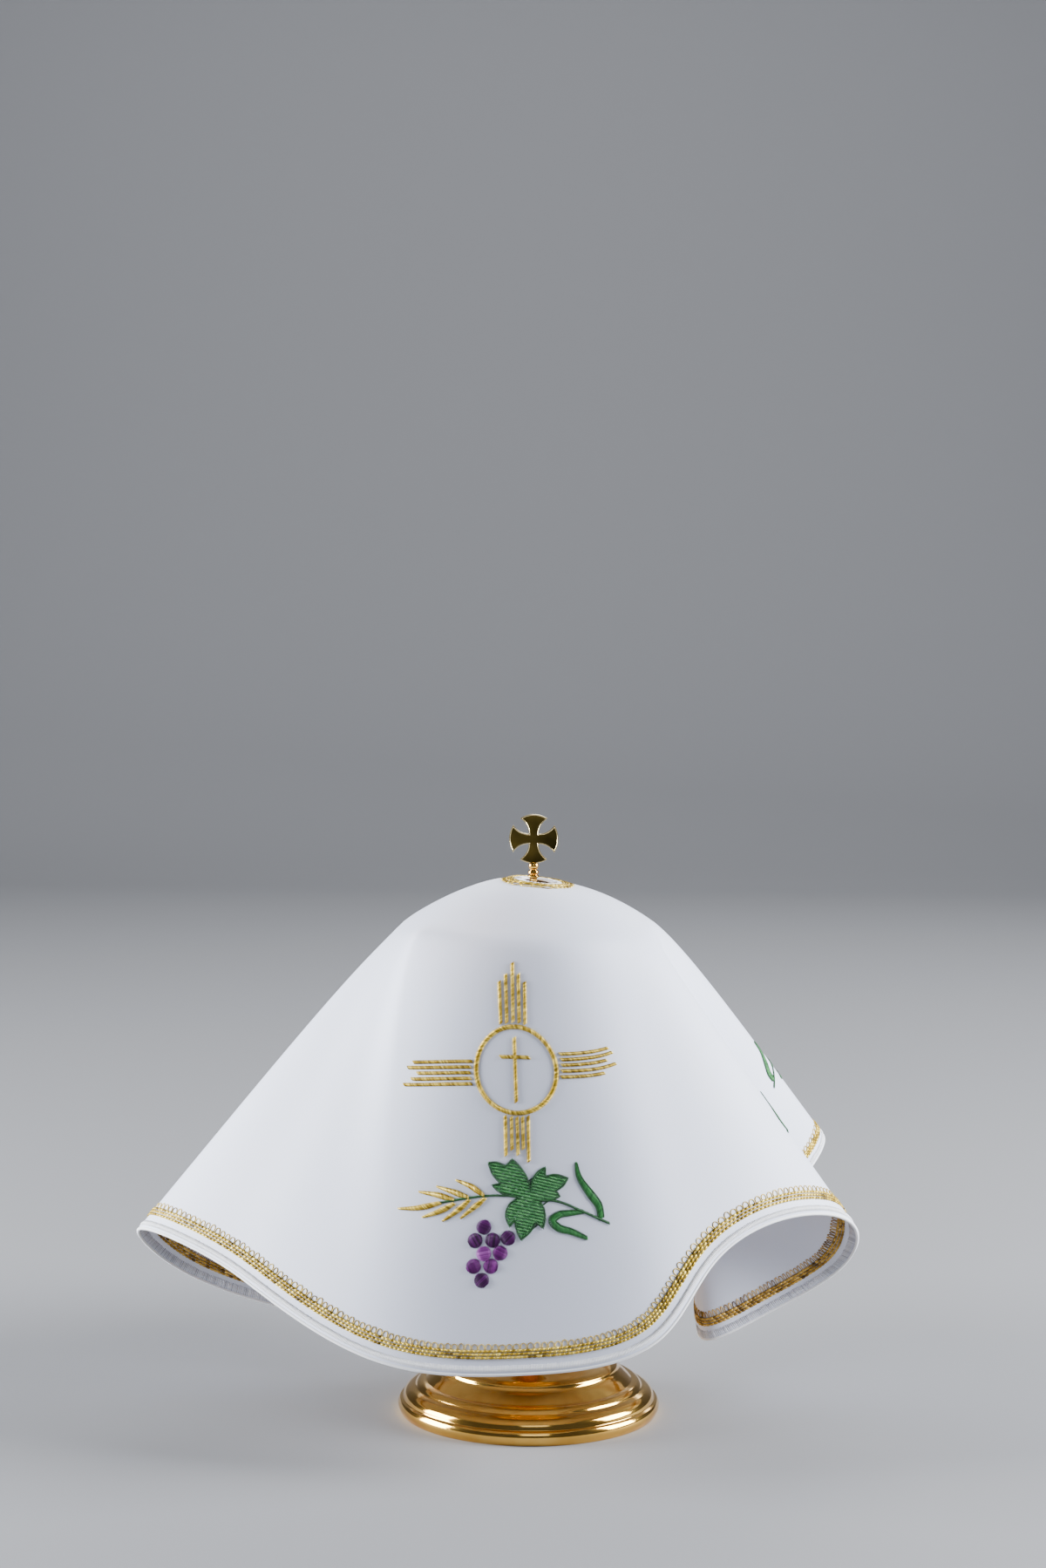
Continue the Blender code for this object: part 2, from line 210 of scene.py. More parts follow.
inside = [(radius, min(height, BOWL_OUTLINE[0][1])) for radius, height in inner_side(BOWL_OUTLINE, BOWL_WALL)]
bowl_line = [(0.0, inside[1][1]), *inside[1:], *BOWL_OUTLINE, (0.0, BOWL_OUTLINE[-1][1])]
bowl = turn_on_axis("bowl", fair_line(bowl_line), steps=96)
fit_metal(bowl, "ciborium_bowl", gilt)

# The lid: a low spun dome with an upright band at its edge, hollow underneath. The veil lies on it.
CLOTH_SEAT = 1.1
CROWN_HEIGHT = 268.8
CROWN_FALL = 0.0056
LID_WALL = 1.6
LID_CROWN_RADIUS = 33.0
LID_TOUCH_RADIUS = 50.0
LID_EDGE_RADIUS = 57.6
LID_EDGE_DROP = 2.2
LID_BAND = [(57.6, 239.8), (59.0, 238.6), (59.0, 232.3)]
lid_top = []
for radius in np.linspace(LID_CROWN_RADIUS, LID_EDGE_RADIUS, 13):
    past = max(0.0, radius - LID_TOUCH_RADIUS) / (LID_EDGE_RADIUS - LID_TOUCH_RADIUS)
    drop = CLOTH_SEAT * math.hypot(1, 2 * CROWN_FALL * radius) + LID_EDGE_DROP * past ** 2
    lid_top.append((radius, CROWN_HEIGHT - CROWN_FALL * radius ** 2 - drop))
under = [(LID_EDGE_RADIUS - LID_WALL, LID_BAND[-1][1]), (LID_EDGE_RADIUS - LID_WALL, lid_top[-1][1] - LID_WALL)]
under += [(radius - LID_WALL / 2, height - LID_WALL) for radius, height in lid_top[-3::-2]]
lid_line = [(0.0, lid_top[0][1]), *lid_top, *LID_BAND, *under, (0.0, lid_top[0][1] - LID_WALL)]
lid = turn_on_axis("lid", lid_line)
fit_metal(lid, "ciborium_lid", gilt)

# The finial's baluster: a slim turned pin with beads, which stands on the lid and carries the cross.
BALUSTER_OUTLINE = [
    (0.0, 279.8), (1.2, 279.6), (2.1, 278.8), (2.5, 277.6), (2.2, 276.3), (1.7, 275.6), (2.6, 274.8),
    (2.7, 273.9), (2.0, 273.2), (2.9, 272.5), (2.9, 271.9), (1.9, 271.3), (2.1, 267.4), (2.9, 264.0),
    (4.4, 263.0), (4.8, 261.4), (0.0, 261.4),
]
baluster = turn_on_axis("finial_pin", fair_line(BALUSTER_OUTLINE, 0.35), edge=0.06, steps=48)
fit_metal(baluster, "finial_baluster", gilt)

# The finial's cross: a flat gilt plate with four widening arms inside one circle, 2 mm thick, set square to
# the front. Its faces are matt and sunk a little inside a thin edge; the faces are coloured near-black as
# painted shade, and the edge and sides pale gold as a painted highlight.
CROSS_RADIUS = 12.25
CROSS_CENTRE = 291.0
CROSS_THICKNESS = 2.0
CROSS_WAIST = 2.45
CROSS_ARM_HALF_DEG = 33.5
CROSS_SIDE_HOLLOW = 1.15
CROSS_ARC_STEPS = 16
CROSS_SIDE_STEPS = 8
CROSS_RIM = 0.42
CROSS_SINK = 0.16


def cross_outline():
    """Outline of the cross in millimetres, anticlockwise from the right arm."""
    corner = math.radians(CROSS_ARM_HALF_DEG)
    tip = np.array([CROSS_RADIUS * math.cos(corner), CROSS_RADIUS * math.sin(corner)])
    waist = np.array([CROSS_WAIST, CROSS_WAIST])
    side = (waist - tip) / np.linalg.norm(waist - tip)
    hollow = np.array([-side[1], side[0]])
    arm = []
    for i in range(CROSS_ARC_STEPS + 1):
        angle = -corner + 2 * corner * i / CROSS_ARC_STEPS
        arm.append((CROSS_RADIUS * math.cos(angle), CROSS_RADIUS * math.sin(angle)))
    edge = []
    for i in range(1, CROSS_SIDE_STEPS):
        share = i / CROSS_SIDE_STEPS
        depth = CROSS_SIDE_HOLLOW * 4 * share * (1 - share)
        edge.append(tuple(tip + (waist - tip) * share + hollow * depth))
    arm += edge + [tuple(waist)] + [(y, x) for x, y in edge[::-1]]
    points = []
    for turn in range(4):
        angle = math.pi / 2 * turn
        points += [(x * math.cos(angle) - y * math.sin(angle), x * math.sin(angle) + y * math.cos(angle))
                   for x, y in arm]
    return points


outline = cross_outline()
cross_line = [(x * MM, CROSS_THICKNESS / 2 * MM, (CROSS_CENTRE + y) * MM) for x, y in outline + outline[:1]]
cross = draw_line("finial_plate", cross_line)
bpy.ops.mesh.remove_doubles(threshold=0.01 * MM)
bpy.ops.mesh.edge_face_add()
bpy.ops.mesh.extrude_region_move(TRANSFORM_OT_translate={"value": (0, -CROSS_THICKNESS * MM, 0)})
bpy.ops.mesh.select_all(action="SELECT")
bpy.ops.mesh.normals_make_consistent(inside=False)
bpy.ops.mesh.select_mode(type="FACE")
bpy.ops.mesh.select_all(action="DESELECT")
plate = bmesh.from_edit_mesh(cross.data)
for face in plate.faces:
    face.select_set(abs(face.normal.y) > 0.9)
bmesh.update_edit_mesh(cross.data)
bpy.ops.mesh.inset(thickness=CROSS_RIM * MM, use_individual=True)
bpy.ops.mesh.inset(thickness=0.12 * MM, depth=-CROSS_SINK * MM, use_individual=True)
bpy.ops.mesh.quads_convert_to_tris(quad_method="BEAUTY", ngon_method="BEAUTY")
bpy.ops.object.mode_set(mode="OBJECT")
cross.data.materials.append(gilt)
# The sunk faces get a near-black gilt as painted shade; the rim and sides get a pale gilt as a painted highlight.
cross.data.materials.append(gilt_finish("matt gilt face with painted shade", (0.15, 0.105, 0.022), (0.05, 0.038, 0.010), 0.36))
cross.data.materials.append(gilt_finish("gilt edge with painted highlight", (1.0, 0.84, 0.46), (0.95, 0.74, 0.33), 0.22))
for face in cross.data.polygons:
    sunk = abs(face.center.y) < (CROSS_THICKNESS / 2 - CROSS_SINK / 2) * MM
    face.material_index = 1 if sunk and abs(face.normal.y) > 0.9 else 2
soften_edges(cross, 0.14, 40, 30)
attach(cross, "root")
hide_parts("finial_cross")

# The veil: one round of fine white cloth, cut 530 mm across with a neck hole in its middle. It lies on the
# lid's dome and falls free from its edge in uneven folds, so it is made as an open sheet and then thickened.
NECK_RADIUS = 8.6
FLAT_RADIUS = 265.0
CLOTH_THICKNESS = 1.2
CLOTH_COLUMNS = 620
CLOTH_ROWS = 70
SIDE_LIFT = 2.8
SIDE_LIFT_START = 10.0
KNEE_SHARE = 0.3
FOLD_COLUMNS = ("flat_deg", "leave_deg", "leave_mm", "turn_mm", "hem_deg", "hem_mm", "height_mm")
FOLDS = {
    "left roll": (210, 185.5, 66.5, 20.5, 174.5, 179, 66.5),
    "left crest": (218, 190, 68, 24, 180, 197.5, 89.5),
    "left cheek": (233, 201, 65, 18, 198, 161, 87),
    "left slope": (241, 210, 63, 15, 208, 148, 77),
    "front left": (254, 225, 61, 11, 233, 130, 55),
    "front": (270, 260, 61, 10, 268, 115, 50),
    "front right": (285, 290, 61, 10, 301, 122, 66),
    "front step": (295, 306, 61, 11, 316, 122, 97),
    "right brow": (308, 318, 61, 14, 339, 142, 113),
    "right crest": (320, 328, 61, 18, 357, 164, 95),
    "right lip": (328, 335, 61, 16, 4, 157, 70.5),
    "right return": (336, 341, 61, 12, 7, 122, 47),
    "right gutter": (344, 348, 60, 10, 7, 91, 34),
    "right wall": (352, 355, 60, 12, 22, 96, 44),
    "right back face": (8, 5, 60, 15, 35, 158, 82),
    "right back crest": (23, 17, 60, 20, 42, 211, 115),
    "right back turn": (36, 36, 61, 14, 55, 172, 92),
    "back right gutter": (56, 61, 61, 10, 63, 104, 50),
    "back crest right": (80, 83, 61, 18, 84, 190, 98),
    "back crest left": (97, 97, 61, 18, 101, 188, 93),
    "back left gutter": (120, 118, 61, 10, 122, 102, 48),
    "left back turn": (140, 142, 61, 14, 127, 164, 84),
    "left back crest": (153, 156, 61, 18, 138, 203, 108),
    "left back face": (170, 165, 61, 14, 150, 146, 72),
    "left gutter": (186, 172, 62, 11, 161, 92, 44.5),
    "left return": (202, 181, 65, 17, 170, 138, 48),
}
CREASES = {
    "front left crease": (247, 256, 6.0, 14.5, 6.2),
    "back crease": (80, 74, 5.0, 5.0, 1.2),
}
CREASE_TOP_SHARE = 0.12
CREASE_FADE = 0.6
NECK_LIFT = 1.0
NECK_LIFT_DEG = 180
NECK_LIFT_FADE = 1.5
NECK_SHIFT = 2.2
BACK_RIDGE_DEG = 128
BACK_RIDGE_WIDTH = 24
BACK_RIDGE_LIFT = 1.2
DOME_STATIONS = 24
HANG_STATIONS = 150
HEM_TURN_WEIGHT = 16.0

rows = sorted((dict(zip(FOLD_COLUMNS, row)) for row in FOLDS.values()), key=lambda row: row["flat_deg"])
knots = np.array([row["flat_deg"] for row in rows], float)
values = []
for row in rows:
    twist = (row["leave_deg"] - row["flat_deg"] + 180) % 360 - 180
    angle = math.radians(row["hem_deg"])
    hem_end = (row["hem_mm"] * math.cos(angle), row["hem_mm"] * math.sin(angle), row["height_mm"])
    values.append((twist, row["leave_mm"], row["turn_mm"], *hem_end))
values = np.array(values, float)


def closed_bends(knots, values):
    """The gaps and bends of the smooth closed curve that passes through values at knots."""
    count = len(knots)
    gaps = np.diff(np.append(knots, knots[0] + 360.0))
    slopes = (np.roll(values, -1, axis=0) - values) / gaps[:, None]
    system = np.zeros((count, count))
    for i in range(count):
        system[i, i - 1] += gaps[i - 1]
        system[i, i] += 2 * (gaps[i - 1] + gaps[i])
        system[i, (i + 1) % count] += gaps[i]
    return gaps, np.linalg.solve(system, 6 * (slopes - np.roll(slopes, 1, axis=0)))


gaps, bends = closed_bends(knots, values)


def fold_lines(flat_deg):
    """Twist, leaving radius, turn and hem end of the fold lines at these places round the flat cloth."""
    place = (flat_deg - knots[0]) % 360.0 + knots[0]
    i = np.searchsorted(knots, place, side="right") - 1
    j = (i + 1) % len(knots)
    a = ((place - knots[i]) / gaps[i])[:, None]
    b = 1 - a
    curve = gaps[i][:, None] ** 2 / 6 * ((b ** 3 - b) * bends[i] + (a ** 3 - a) * bends[j])
    return b * values[i] + a * values[j] + curve


def angle_apart(one, other):
    """Difference of two angles in degrees, between -180 and 180."""
    return (one - other + 180) % 360 - 180


def crown(radius, angle_deg):
    """Height of the cloth over the lid: it lies on the right, and stands a little off on the left."""
    side = 0.5 - 0.5 * np.cos(np.radians(angle_deg))
    return CROWN_HEIGHT - CROWN_FALL * radius ** 2 + SIDE_LIFT * side * radius / (radius + SIDE_LIFT_START)


def hang_cloth(flat_deg, shares):
    """Points of the cloth's middle, at equal shares down each fold line from the neck to the hem."""
    twist, leave, turn, *hem = fold_lines(flat_deg).T
    leave_deg = (flat_deg + twist)[:, None]
    leave, turn, hem = leave[:, None], turn[:, None, None], np.array(hem).T[:, None, :]
    outward = np.stack([np.cos(np.radians(leave_deg)), np.sin(np.radians(leave_deg)), 0 * leave_deg], axis=-1)
    run = np.linspace(0, 1, DOME_STATIONS)[None, :-1]
    radius = NECK_RADIUS + (leave - NECK_RADIUS) * run
    fade = 1 - run
    side = 0.5 + 0.5 * np.cos(np.radians(leave_deg - NECK_LIFT_DEG))
    ridge = np.exp(-(angle_apart(leave_deg, BACK_RIDGE_DEG) / BACK_RIDGE_WIDTH) ** 2) * np.sin(np.pi * fade) ** 2
    lift = NECK_LIFT * side * fade ** NECK_LIFT_FADE + BACK_RIDGE_LIFT * ridge
    dome = outward * radius[..., None]
    dome[..., 0] += NECK_SHIFT * fade
    dome[..., 2] = crown(radius, leave_deg) + lift
    start = outward * leave[..., None]
    start[..., 2] = crown(leave, leave_deg)
    slope = outward.copy()
    slope[..., 2] = -2 * CROWN_FALL * leave
    corner = start + slope / np.linalg.norm(slope, axis=-1, keepdims=True) * turn
    knee = corner + (hem - corner) * KNEE_SHARE
    t = np.linspace(0, 1, HANG_STATIONS)[None, :, None]
    hang = (1 - t) ** 3 * start + 3 * (1 - t) ** 2 * t * corner + 3 * (1 - t) * t ** 2 * knee + t ** 3 * hem
    rise = 0
    for first, last, near_width, far_width, height in CREASES.values():
        off = angle_apart(flat_deg[:, None], first + (last - first) * t[..., 0])
        down = CREASE_TOP_SHARE + (1 - CREASE_TOP_SHARE) * t[..., 0]
        width = np.where(off < 0, near_width, far_width)
        rise = rise + height * np.exp(-(off / width) ** 2) * np.sin(np.pi * down ** CREASE_FADE)
    level = hang * np.array([1, 1, 0])
    hang = hang + level / np.linalg.norm(level, axis=-1, keepdims=True) * rise[..., None]
    line = np.concatenate([dome, hang], axis=1)
    total = np.linalg.norm(np.diff(line, axis=1), axis=2).cumsum(axis=1)
    total = np.concatenate([0 * total[:, :1], total], axis=1)
    even = [[np.interp(shares * far[-1], far, side) for side in column.T] for far, column in zip(total, line)]
    return np.array(even).transpose(0, 2, 1)


def spread_places(count):
    """Places round the cloth, closer together where the hem turns tightly."""
    fine = np.linspace(0, 360, 1441)
    step = np.diff(fold_lines(fine)[:, 3:], axis=0)
    length = np.linalg.norm(step, axis=1)
    heading = step / length[:, None]
    cosine = np.clip((heading * np.roll(heading, 1, axis=0)).sum(axis=1), -1, 1)
    total = np.concatenate([[0], np.cumsum(length + HEM_TURN_WEIGHT * np.arccos(cosine))])
    return np.interp(np.arange(count) / count * total[-1], total, fine)


def add_mesh(name, points, faces, material):
    """A new piece from points in millimetres."""
    mesh = bpy.data.meshes.new(name)
    mesh.from_pydata([tuple(p) for p in np.asarray(points) * MM], [], faces)
    mesh.shade_smooth()
    mesh.materials.append(material)
    piece = bpy.data.objects.new(name, mesh)
    bpy.context.scene.collection.objects.link(piece)
    return piece


def white_cloth():
    """Fine white cloth with a soft sheen: a plain weave, faint slubs, and a little pinkish painted reflection of
    the gilt lid.
    """
    material, nodes, links, shader = new_material("fine white cloth")
    shader.inputs["Roughness"].default_value = 0.6
    shader.inputs["Sheen Weight"].default_value = 0.25
    shader.inputs["Sheen Roughness"].default_value = 0.4
    place = nodes.new("ShaderNodeTexCoord")
    patch = nodes.new("ShaderNodeTexNoise")
    patch.inputs["Scale"].default_value = 18.0
    links.new(place.outputs["UV"], patch.inputs["Vector"])
    tone = nodes.new("ShaderNodeValToRGB")
    tone.color_ramp.elements[0].color = (0.735, 0.77, 0.905, 1)
    tone.color_ramp.elements[1].color = (0.795, 0.825, 0.955, 1)
    links.new(patch.outputs["Fac"], tone.inputs["Fac"])
    # A pinkish tint round a point over the lid's dome: the gilt lid's reflection through the thin cloth, painted
    # into the colour.
    painted_lid_place = nodes.new("ShaderNodeMapping")
    painted_lid_place.inputs["Location"].default_value = (0.55, 1.05, -5.1)
    painted_lid_place.inputs["Scale"].default_value = (22.0, 22.0, 20.0)
    painted_lid_falloff = nodes.new("ShaderNodeTexGradient")
    painted_lid_falloff.gradient_type = "SPHERICAL"
    links.new(place.outputs["Object"], painted_lid_place.inputs["Vector"])
    links.new(painted_lid_place.outputs["Vector"], painted_lid_falloff.inputs["Vector"])
    painted_lid_share = nodes.new("ShaderNodeMath")
    painted_lid_share.operation = "MULTIPLY"
    painted_lid_share.inputs[1].default_value = 0.35
    links.new(painted_lid_falloff.outputs["Fac"], painted_lid_share.inputs[0])
    tint = nodes.new("ShaderNodeMix")
    tint.data_type = "RGBA"
    factor, white, painted_lid_tint = tint.inputs[0], tint.inputs[6], tint.inputs[7]
    painted_lid_tint.default_value = (0.90, 0.78, 0.76, 1)
    links.new(painted_lid_share.outputs["Value"], factor)
    links.new(tone.outputs["Color"], white)
    links.new(tint.outputs[2], shader.inputs["Base Color"])
    height = None
    for direction in ("X", "Y"):
        threads = nodes.new("ShaderNodeTexWave")
        threads.bands_direction = direction
        threads.inputs["Scale"].default_value = 700.0
        threads.inputs["Distortion"].default_value = 1.2
        threads.inputs["Detail Scale"].default_value = 2.0
        links.new(place.outputs["UV"], threads.inputs["Vector"])
        if height is None:
            height = threads
            continue
        both = nodes.new("ShaderNodeMath")
        both.operation = "MAXIMUM"
        links.new(height.outputs["Fac"], both.inputs[0])
        links.new(threads.outputs["Fac"], both.inputs[1])
    add_bump(nodes, links, shader, both.outputs["Value"], 0.25, 0.05)
    return material


places = spread_places(CLOTH_COLUMNS)
shares = np.linspace(0, 1, CLOTH_ROWS + 1)
sheet_points = hang_cloth(places, shares)
faces = []
for i in range(CLOTH_COLUMNS):
    for k in range(CLOTH_ROWS):
        here, there = i * (CLOTH_ROWS + 1) + k, (i + 1) % CLOTH_COLUMNS * (CLOTH_ROWS + 1) + k
        faces.append((here, here + 1, there + 1, there))
cloth_white = white_cloth()
cloth = add_mesh("veil", sheet_points.reshape(-1, 3), faces, cloth_white)
flat_radius = (NECK_RADIUS + shares * (FLAT_RADIUS - NECK_RADIUS)) * MM
flat_angle = np.radians(places)[:, None]
flat = np.stack([flat_radius * np.cos(flat_angle), flat_radius * np.sin(flat_angle)], axis=-1).reshape(-1, 2)
corners = np.array([loop.vertex_index for loop in cloth.data.loops])
cloth.data.uv_layers.new(name="flat cloth").data.foreach_set("uv", flat[corners].ravel())
bpy.ops.object.select_all(action="DESELECT")
bpy.context.view_layer.objects.active = cloth
cloth.select_set(True)
wall = cloth.modifiers.new("thickness", "SOLIDIFY")
wall.thickness = CLOTH_THICKNESS * MM
wall.offset = 0.0
wall.use_even_offset = True
bpy.ops.object.modifier_apply(modifier=wall.name)
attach(cloth, "root")
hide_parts("veil_cloth")

# The rolled edge of the hem: the cut edge is turned and bound with white thread into a soft round cord.
FINE_DEG = 0.25
FINE_SHARES = np.linspace(0, 1, 241)
fine_places = np.arange(0, 360, FINE_DEG)
fine_cloth = hang_cloth(fine_places, FINE_SHARES)
down = np.gradient(fine_cloth, axis=1)
around = np.roll(fine_cloth, -1, axis=0) - np.roll(fine_cloth, 1, axis=0)
fine_outs = np.cross(down, around)
fine_outs /= np.linalg.norm(fine_outs, axis=2, keepdims=True)
column_length = np.linalg.norm(np.diff(fine_cloth, axis=1), axis=2).sum(axis=1)


def between(a, b, near, near_down, far, far_down):
    """The value at share a across and share b down between four corner values."""
    return (1 - a) * ((1 - b) * near + b * near_down) + a * ((1 - b) * far + b * far_down)


def on_cloth(deg, share):
    """Points on the cloth's middle and the directions out of it, at places round and shares down the cloth."""
    x = (deg % 360) / FINE_DEG
    y = np.clip(share, 0, 1) * (len(FINE_SHARES) - 1)
    i, k = x.astype(int) % len(fine_places), np.minimum(y.astype(int), len(FINE_SHARES) - 2)
    a, b = (x - x.astype(int))[..., None], (y - k)[..., None]
    j = (i + 1) % len(fine_places)
    points, outs = [between(a, b, table[i, k], table[i, k + 1], table[j, k], table[j, k + 1])
                    for table in (fine_cloth, fine_outs)]
    return points, outs / np.linalg.norm(outs, axis=-1, keepdims=True)


HEM_DEPTH = 24.0
HEM_ROW = 0.5
HEM_SHARES = 34
HEM_SEARCH = 90
hem_line = fine_cloth[:, -1]
hem_step = np.linalg.norm(np.roll(hem_line, -1, axis=0) - hem_line, axis=1)
hem_along = np.concatenate([[0], np.cumsum(hem_step)])
HEM_LENGTH = hem_along[-1]
band = fine_cloth[:, -HEM_SHARES:]
nearest = np.full(band.shape[:2], 1e9)
foot_along = np.zeros(band.shape[:2])
for off in range(-HEM_SEARCH, HEM_SEARCH):
    first = np.roll(hem_line, -off, axis=0)[:, None]
    edge = np.roll(hem_line, -off - 1, axis=0)[:, None] - first
    size = (edge ** 2).sum(axis=2)
    t = np.clip(((band - first) * edge).sum(axis=2) / size, 0, 1)
    apart = np.linalg.norm(band - first - t[..., None] * edge, axis=2)
    index = np.arange(len(fine_places)) + off
    lap = (index // len(fine_places)) * HEM_LENGTH
    here = hem_along[index % len(fine_places)][:, None] + lap[:, None] + t * np.sqrt(size)
    better = apart < nearest
    nearest[better] = apart[better]
    foot_along[better] = here[better]
band_share = FINE_SHARES[-HEM_SHARES:]
hem_rows = np.arange(0, HEM_DEPTH + HEM_ROW, HEM_ROW)
hem_marks = np.arange(0, HEM_LENGTH + 1.0, 1.0)
hem_table = np.zeros((len(hem_rows), len(hem_marks), 2))
one_lap = np.append(fine_places, 360)
for r, inward in enumerate(hem_rows):
    level = np.array([np.interp(inward, far[::-1], band_share[::-1]) for far in nearest])
    reach = np.array([np.interp(inward, far[::-1], foot[::-1]) for far, foot in zip(nearest, foot_along)])
    reach = np.maximum.accumulate(np.concatenate([reach - HEM_LENGTH, reach, reach + HEM_LENGTH]))
    lapped = np.concatenate([fine_places - 360, fine_places, fine_places + 360])
    hem_table[r, :, 0] = np.interp(hem_marks, reach, lapped)
    hem_table[r, :, 1] = np.interp(hem_table[r, :, 0] % 360, one_lap, np.append(level, level[0]))


def by_the_hem(along, inward):
    """Places on the cloth at millimetres along the hem and millimetres in from it."""
    x = along % HEM_LENGTH
    y = np.clip(inward / HEM_ROW, 0, len(hem_rows) - 1.001)
    i, k = np.minimum(x.astype(int), len(hem_marks) - 2), y.astype(int)
    a, b = (x - i)[..., None], (y - k)[..., None]
    found = between(a, b, hem_table[k, i], hem_table[k + 1, i], hem_table[k, i + 1], hem_table[k + 1, i + 1])
    return found[..., 0], found[..., 1]


def thread_finish(name, dark, middle, bright, roughness, metallic=0.0, sheen=0.0):
    """Sewing thread: each stitch's tone is partly random, partly painted glints and painted shade; fibres roughen
    it.
    """
    material, nodes, links, shader = new_material(name)
    shader.inputs["Roughness"].default_value = roughness
    shader.inputs["Metallic"].default_value = metallic
    shader.inputs["Sheen Weight"].default_value = sheen
    shader.inputs["Specular IOR Level"].default_value = 0.3
    # The tone attribute picks each stitch's colour on a dark-to-bright ramp: partly random tone, partly painted
    # glints and painted shade.
    tone = nodes.new("ShaderNodeAttribute")
    tone.attribute_name = "tone"
    ramp = nodes.new("ShaderNodeValToRGB")
    ramp.color_ramp.elements[0].color = (*dark, 1)
    ramp.color_ramp.elements[1].color = (*bright, 1)
    ramp.color_ramp.elements.new(0.5).color = (*middle, 1)
    links.new(tone.outputs["Fac"], ramp.inputs["Fac"])
    links.new(ramp.outputs["Color"], shader.inputs["Base Color"])
    place = nodes.new("ShaderNodeTexCoord")
    fibre = nodes.new("ShaderNodeTexNoise")
    fibre.inputs["Scale"].default_value = 4200.0
    links.new(place.outputs["Object"], fibre.inputs["Vector"])
    add_bump(nodes, links, shader, fibre.outputs["Fac"], 0.4, 0.05)
    return material


MOST_BOW = 0.7


def lay_threads(name, flat, places, width, height, material, tone, side=1, arch=0.0, layer=0.0, sides=5,
                closed=False):
    """Lay a raised thread along each row of flat points, at each place, outside or with side -1 inside."""
    found = [on_cloth(*place(flat[..., 0], flat[..., 1])) for place in places]
    middles = np.concatenate([points for points, outward in found])
    outs = np.concatenate([outward for points, outward in found]) * side
    count, stations = middles.shape[:2]
    share = np.linspace(0, 1, stations)[None, :]
    length = np.linalg.norm(np.diff(middles, axis=1), axis=2).sum(axis=1)[:, None]
    bow = np.minimum(arch * length, MOST_BOW) * np.sin(np.pi * share)
    rise = CLOTH_THICKNESS / 2 + height * 0.35 + layer + bow
    middles = middles + outs * rise[..., None]
    taper = np.ones((1, stations)) if closed else 0.5 + 0.5 * np.sin(np.pi * (0.02 + 0.96 * share)) ** 0.5
    if closed:
        forward = np.roll(middles, -1, axis=1) - np.roll(middles, 1, axis=1)
    else:
        forward = np.gradient(middles, axis=1)
    forward /= np.linalg.norm(forward, axis=-1, keepdims=True)
    across = np.cross(forward, outs)
    across /= np.linalg.norm(across, axis=-1, keepdims=True)
    upward = np.cross(across, forward)
    turn = 2 * np.pi * (np.arange(sides) + 0.5) / sides
    wide = (across * (taper * width / 2)[..., None])[:, :, None] * np.cos(turn)[:, None]
    tall = (upward * (taper * height / 2)[..., None])[:, :, None] * np.sin(turn)[:, None]
    points = middles[:, :, None] + wide + tall
    first = (np.arange(count) * stations * sides)[:, None, None]
    ring = np.arange(stations if closed else stations - 1)[None, :, None] * sides
    corner = np.arange(sides)[None, None, :]
    after, beyond = (corner + 1) % sides, (ring + sides) % (stations * sides)
    around = (first + ring + corner, first + beyond + corner, first + beyond + after, first + ring + after)
    skin = np.stack(np.broadcast_arrays(*around), axis=-1).reshape(-1, 4).tolist()
    if not closed:
        near = first[:, 0] + corner[0]
        skin += near.tolist() + (near[:, ::-1] + (stations - 1) * sides).tolist()
    piece = add_mesh(name, points.reshape(-1, 3), skin, material)
    marks = piece.data.attributes.new("tone", "FLOAT", "POINT")
    marks.data.foreach_set("value", np.repeat(tone, stations * sides).astype(np.float32))
    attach(piece, "root")


def flat_points(along, inward):
    """Flat points at places along and distances inward, of which one may be a single number."""
    return np.stack(np.broadcast_arrays(along, inward), axis=-1)


HEM_ROLL = (1.7, 1.9)
white_thread = thread_finish("white thread", (0.76, 0.77, 0.82), (0.90, 0.905, 0.935), (0.97, 0.97, 0.985), 0.5,
                             sheen=0.1)
edge_flat = flat_points(np.arange(0, HEM_LENGTH - 0.6, 1.15), 0.25)
lay_threads("hem_rolled_edge", edge_flat[None], [by_the_hem], *HEM_ROLL, white_thread, np.array([0.62]),
            layer=-CLOTH_THICKNESS / 2 - 0.66, sides=8, closed=True)

# The satin band of the hem: close white threads laid across, 2.7 mm wide, that hold the turned edge down.
SATIN_BAND = (1.75, 4.45)
SATIN_THREAD = (0.66, 0.5)
rng = np.random.default_rng(11)


def straight(starts, ends, stations=4):
    """Rows of flat points from each start to each end."""
    share = np.linspace(0, 1, stations)[None, :, None]
    return np.asarray(starts, float)[:, None] * (1 - share) + np.asarray(ends, float)[:, None] * share


def even_marks(length, pitch):
    """Even places along a closed line of this length."""
    count = round(length / pitch)
    return (np.arange(count) + 0.5) * length / count


def laid_across(marks, lean, band, uneven):
    """Starts and ends of threads laid across a band along an edge, leaning by millimetres along it."""
    return flat_points(marks, band[0]), flat_points(marks + lean, band[1] + rng.normal(0, uneven, len(marks)))


def tones(middle, spread, count):
    """The tones of so many threads, round a middle tone."""
    return np.clip(rng.normal(middle, spread, count), 0, 1)


marks = even_marks(HEM_LENGTH, 0.62)
threads = straight(*laid_across(marks, 0.15, SATIN_BAND, 0.08), 3)
lay_threads("hem_satin_band", threads, [by_the_hem], *SATIN_THREAD, white_thread, tones(0.7, 0.16, len(marks)),
            arch=0.12, sides=4)

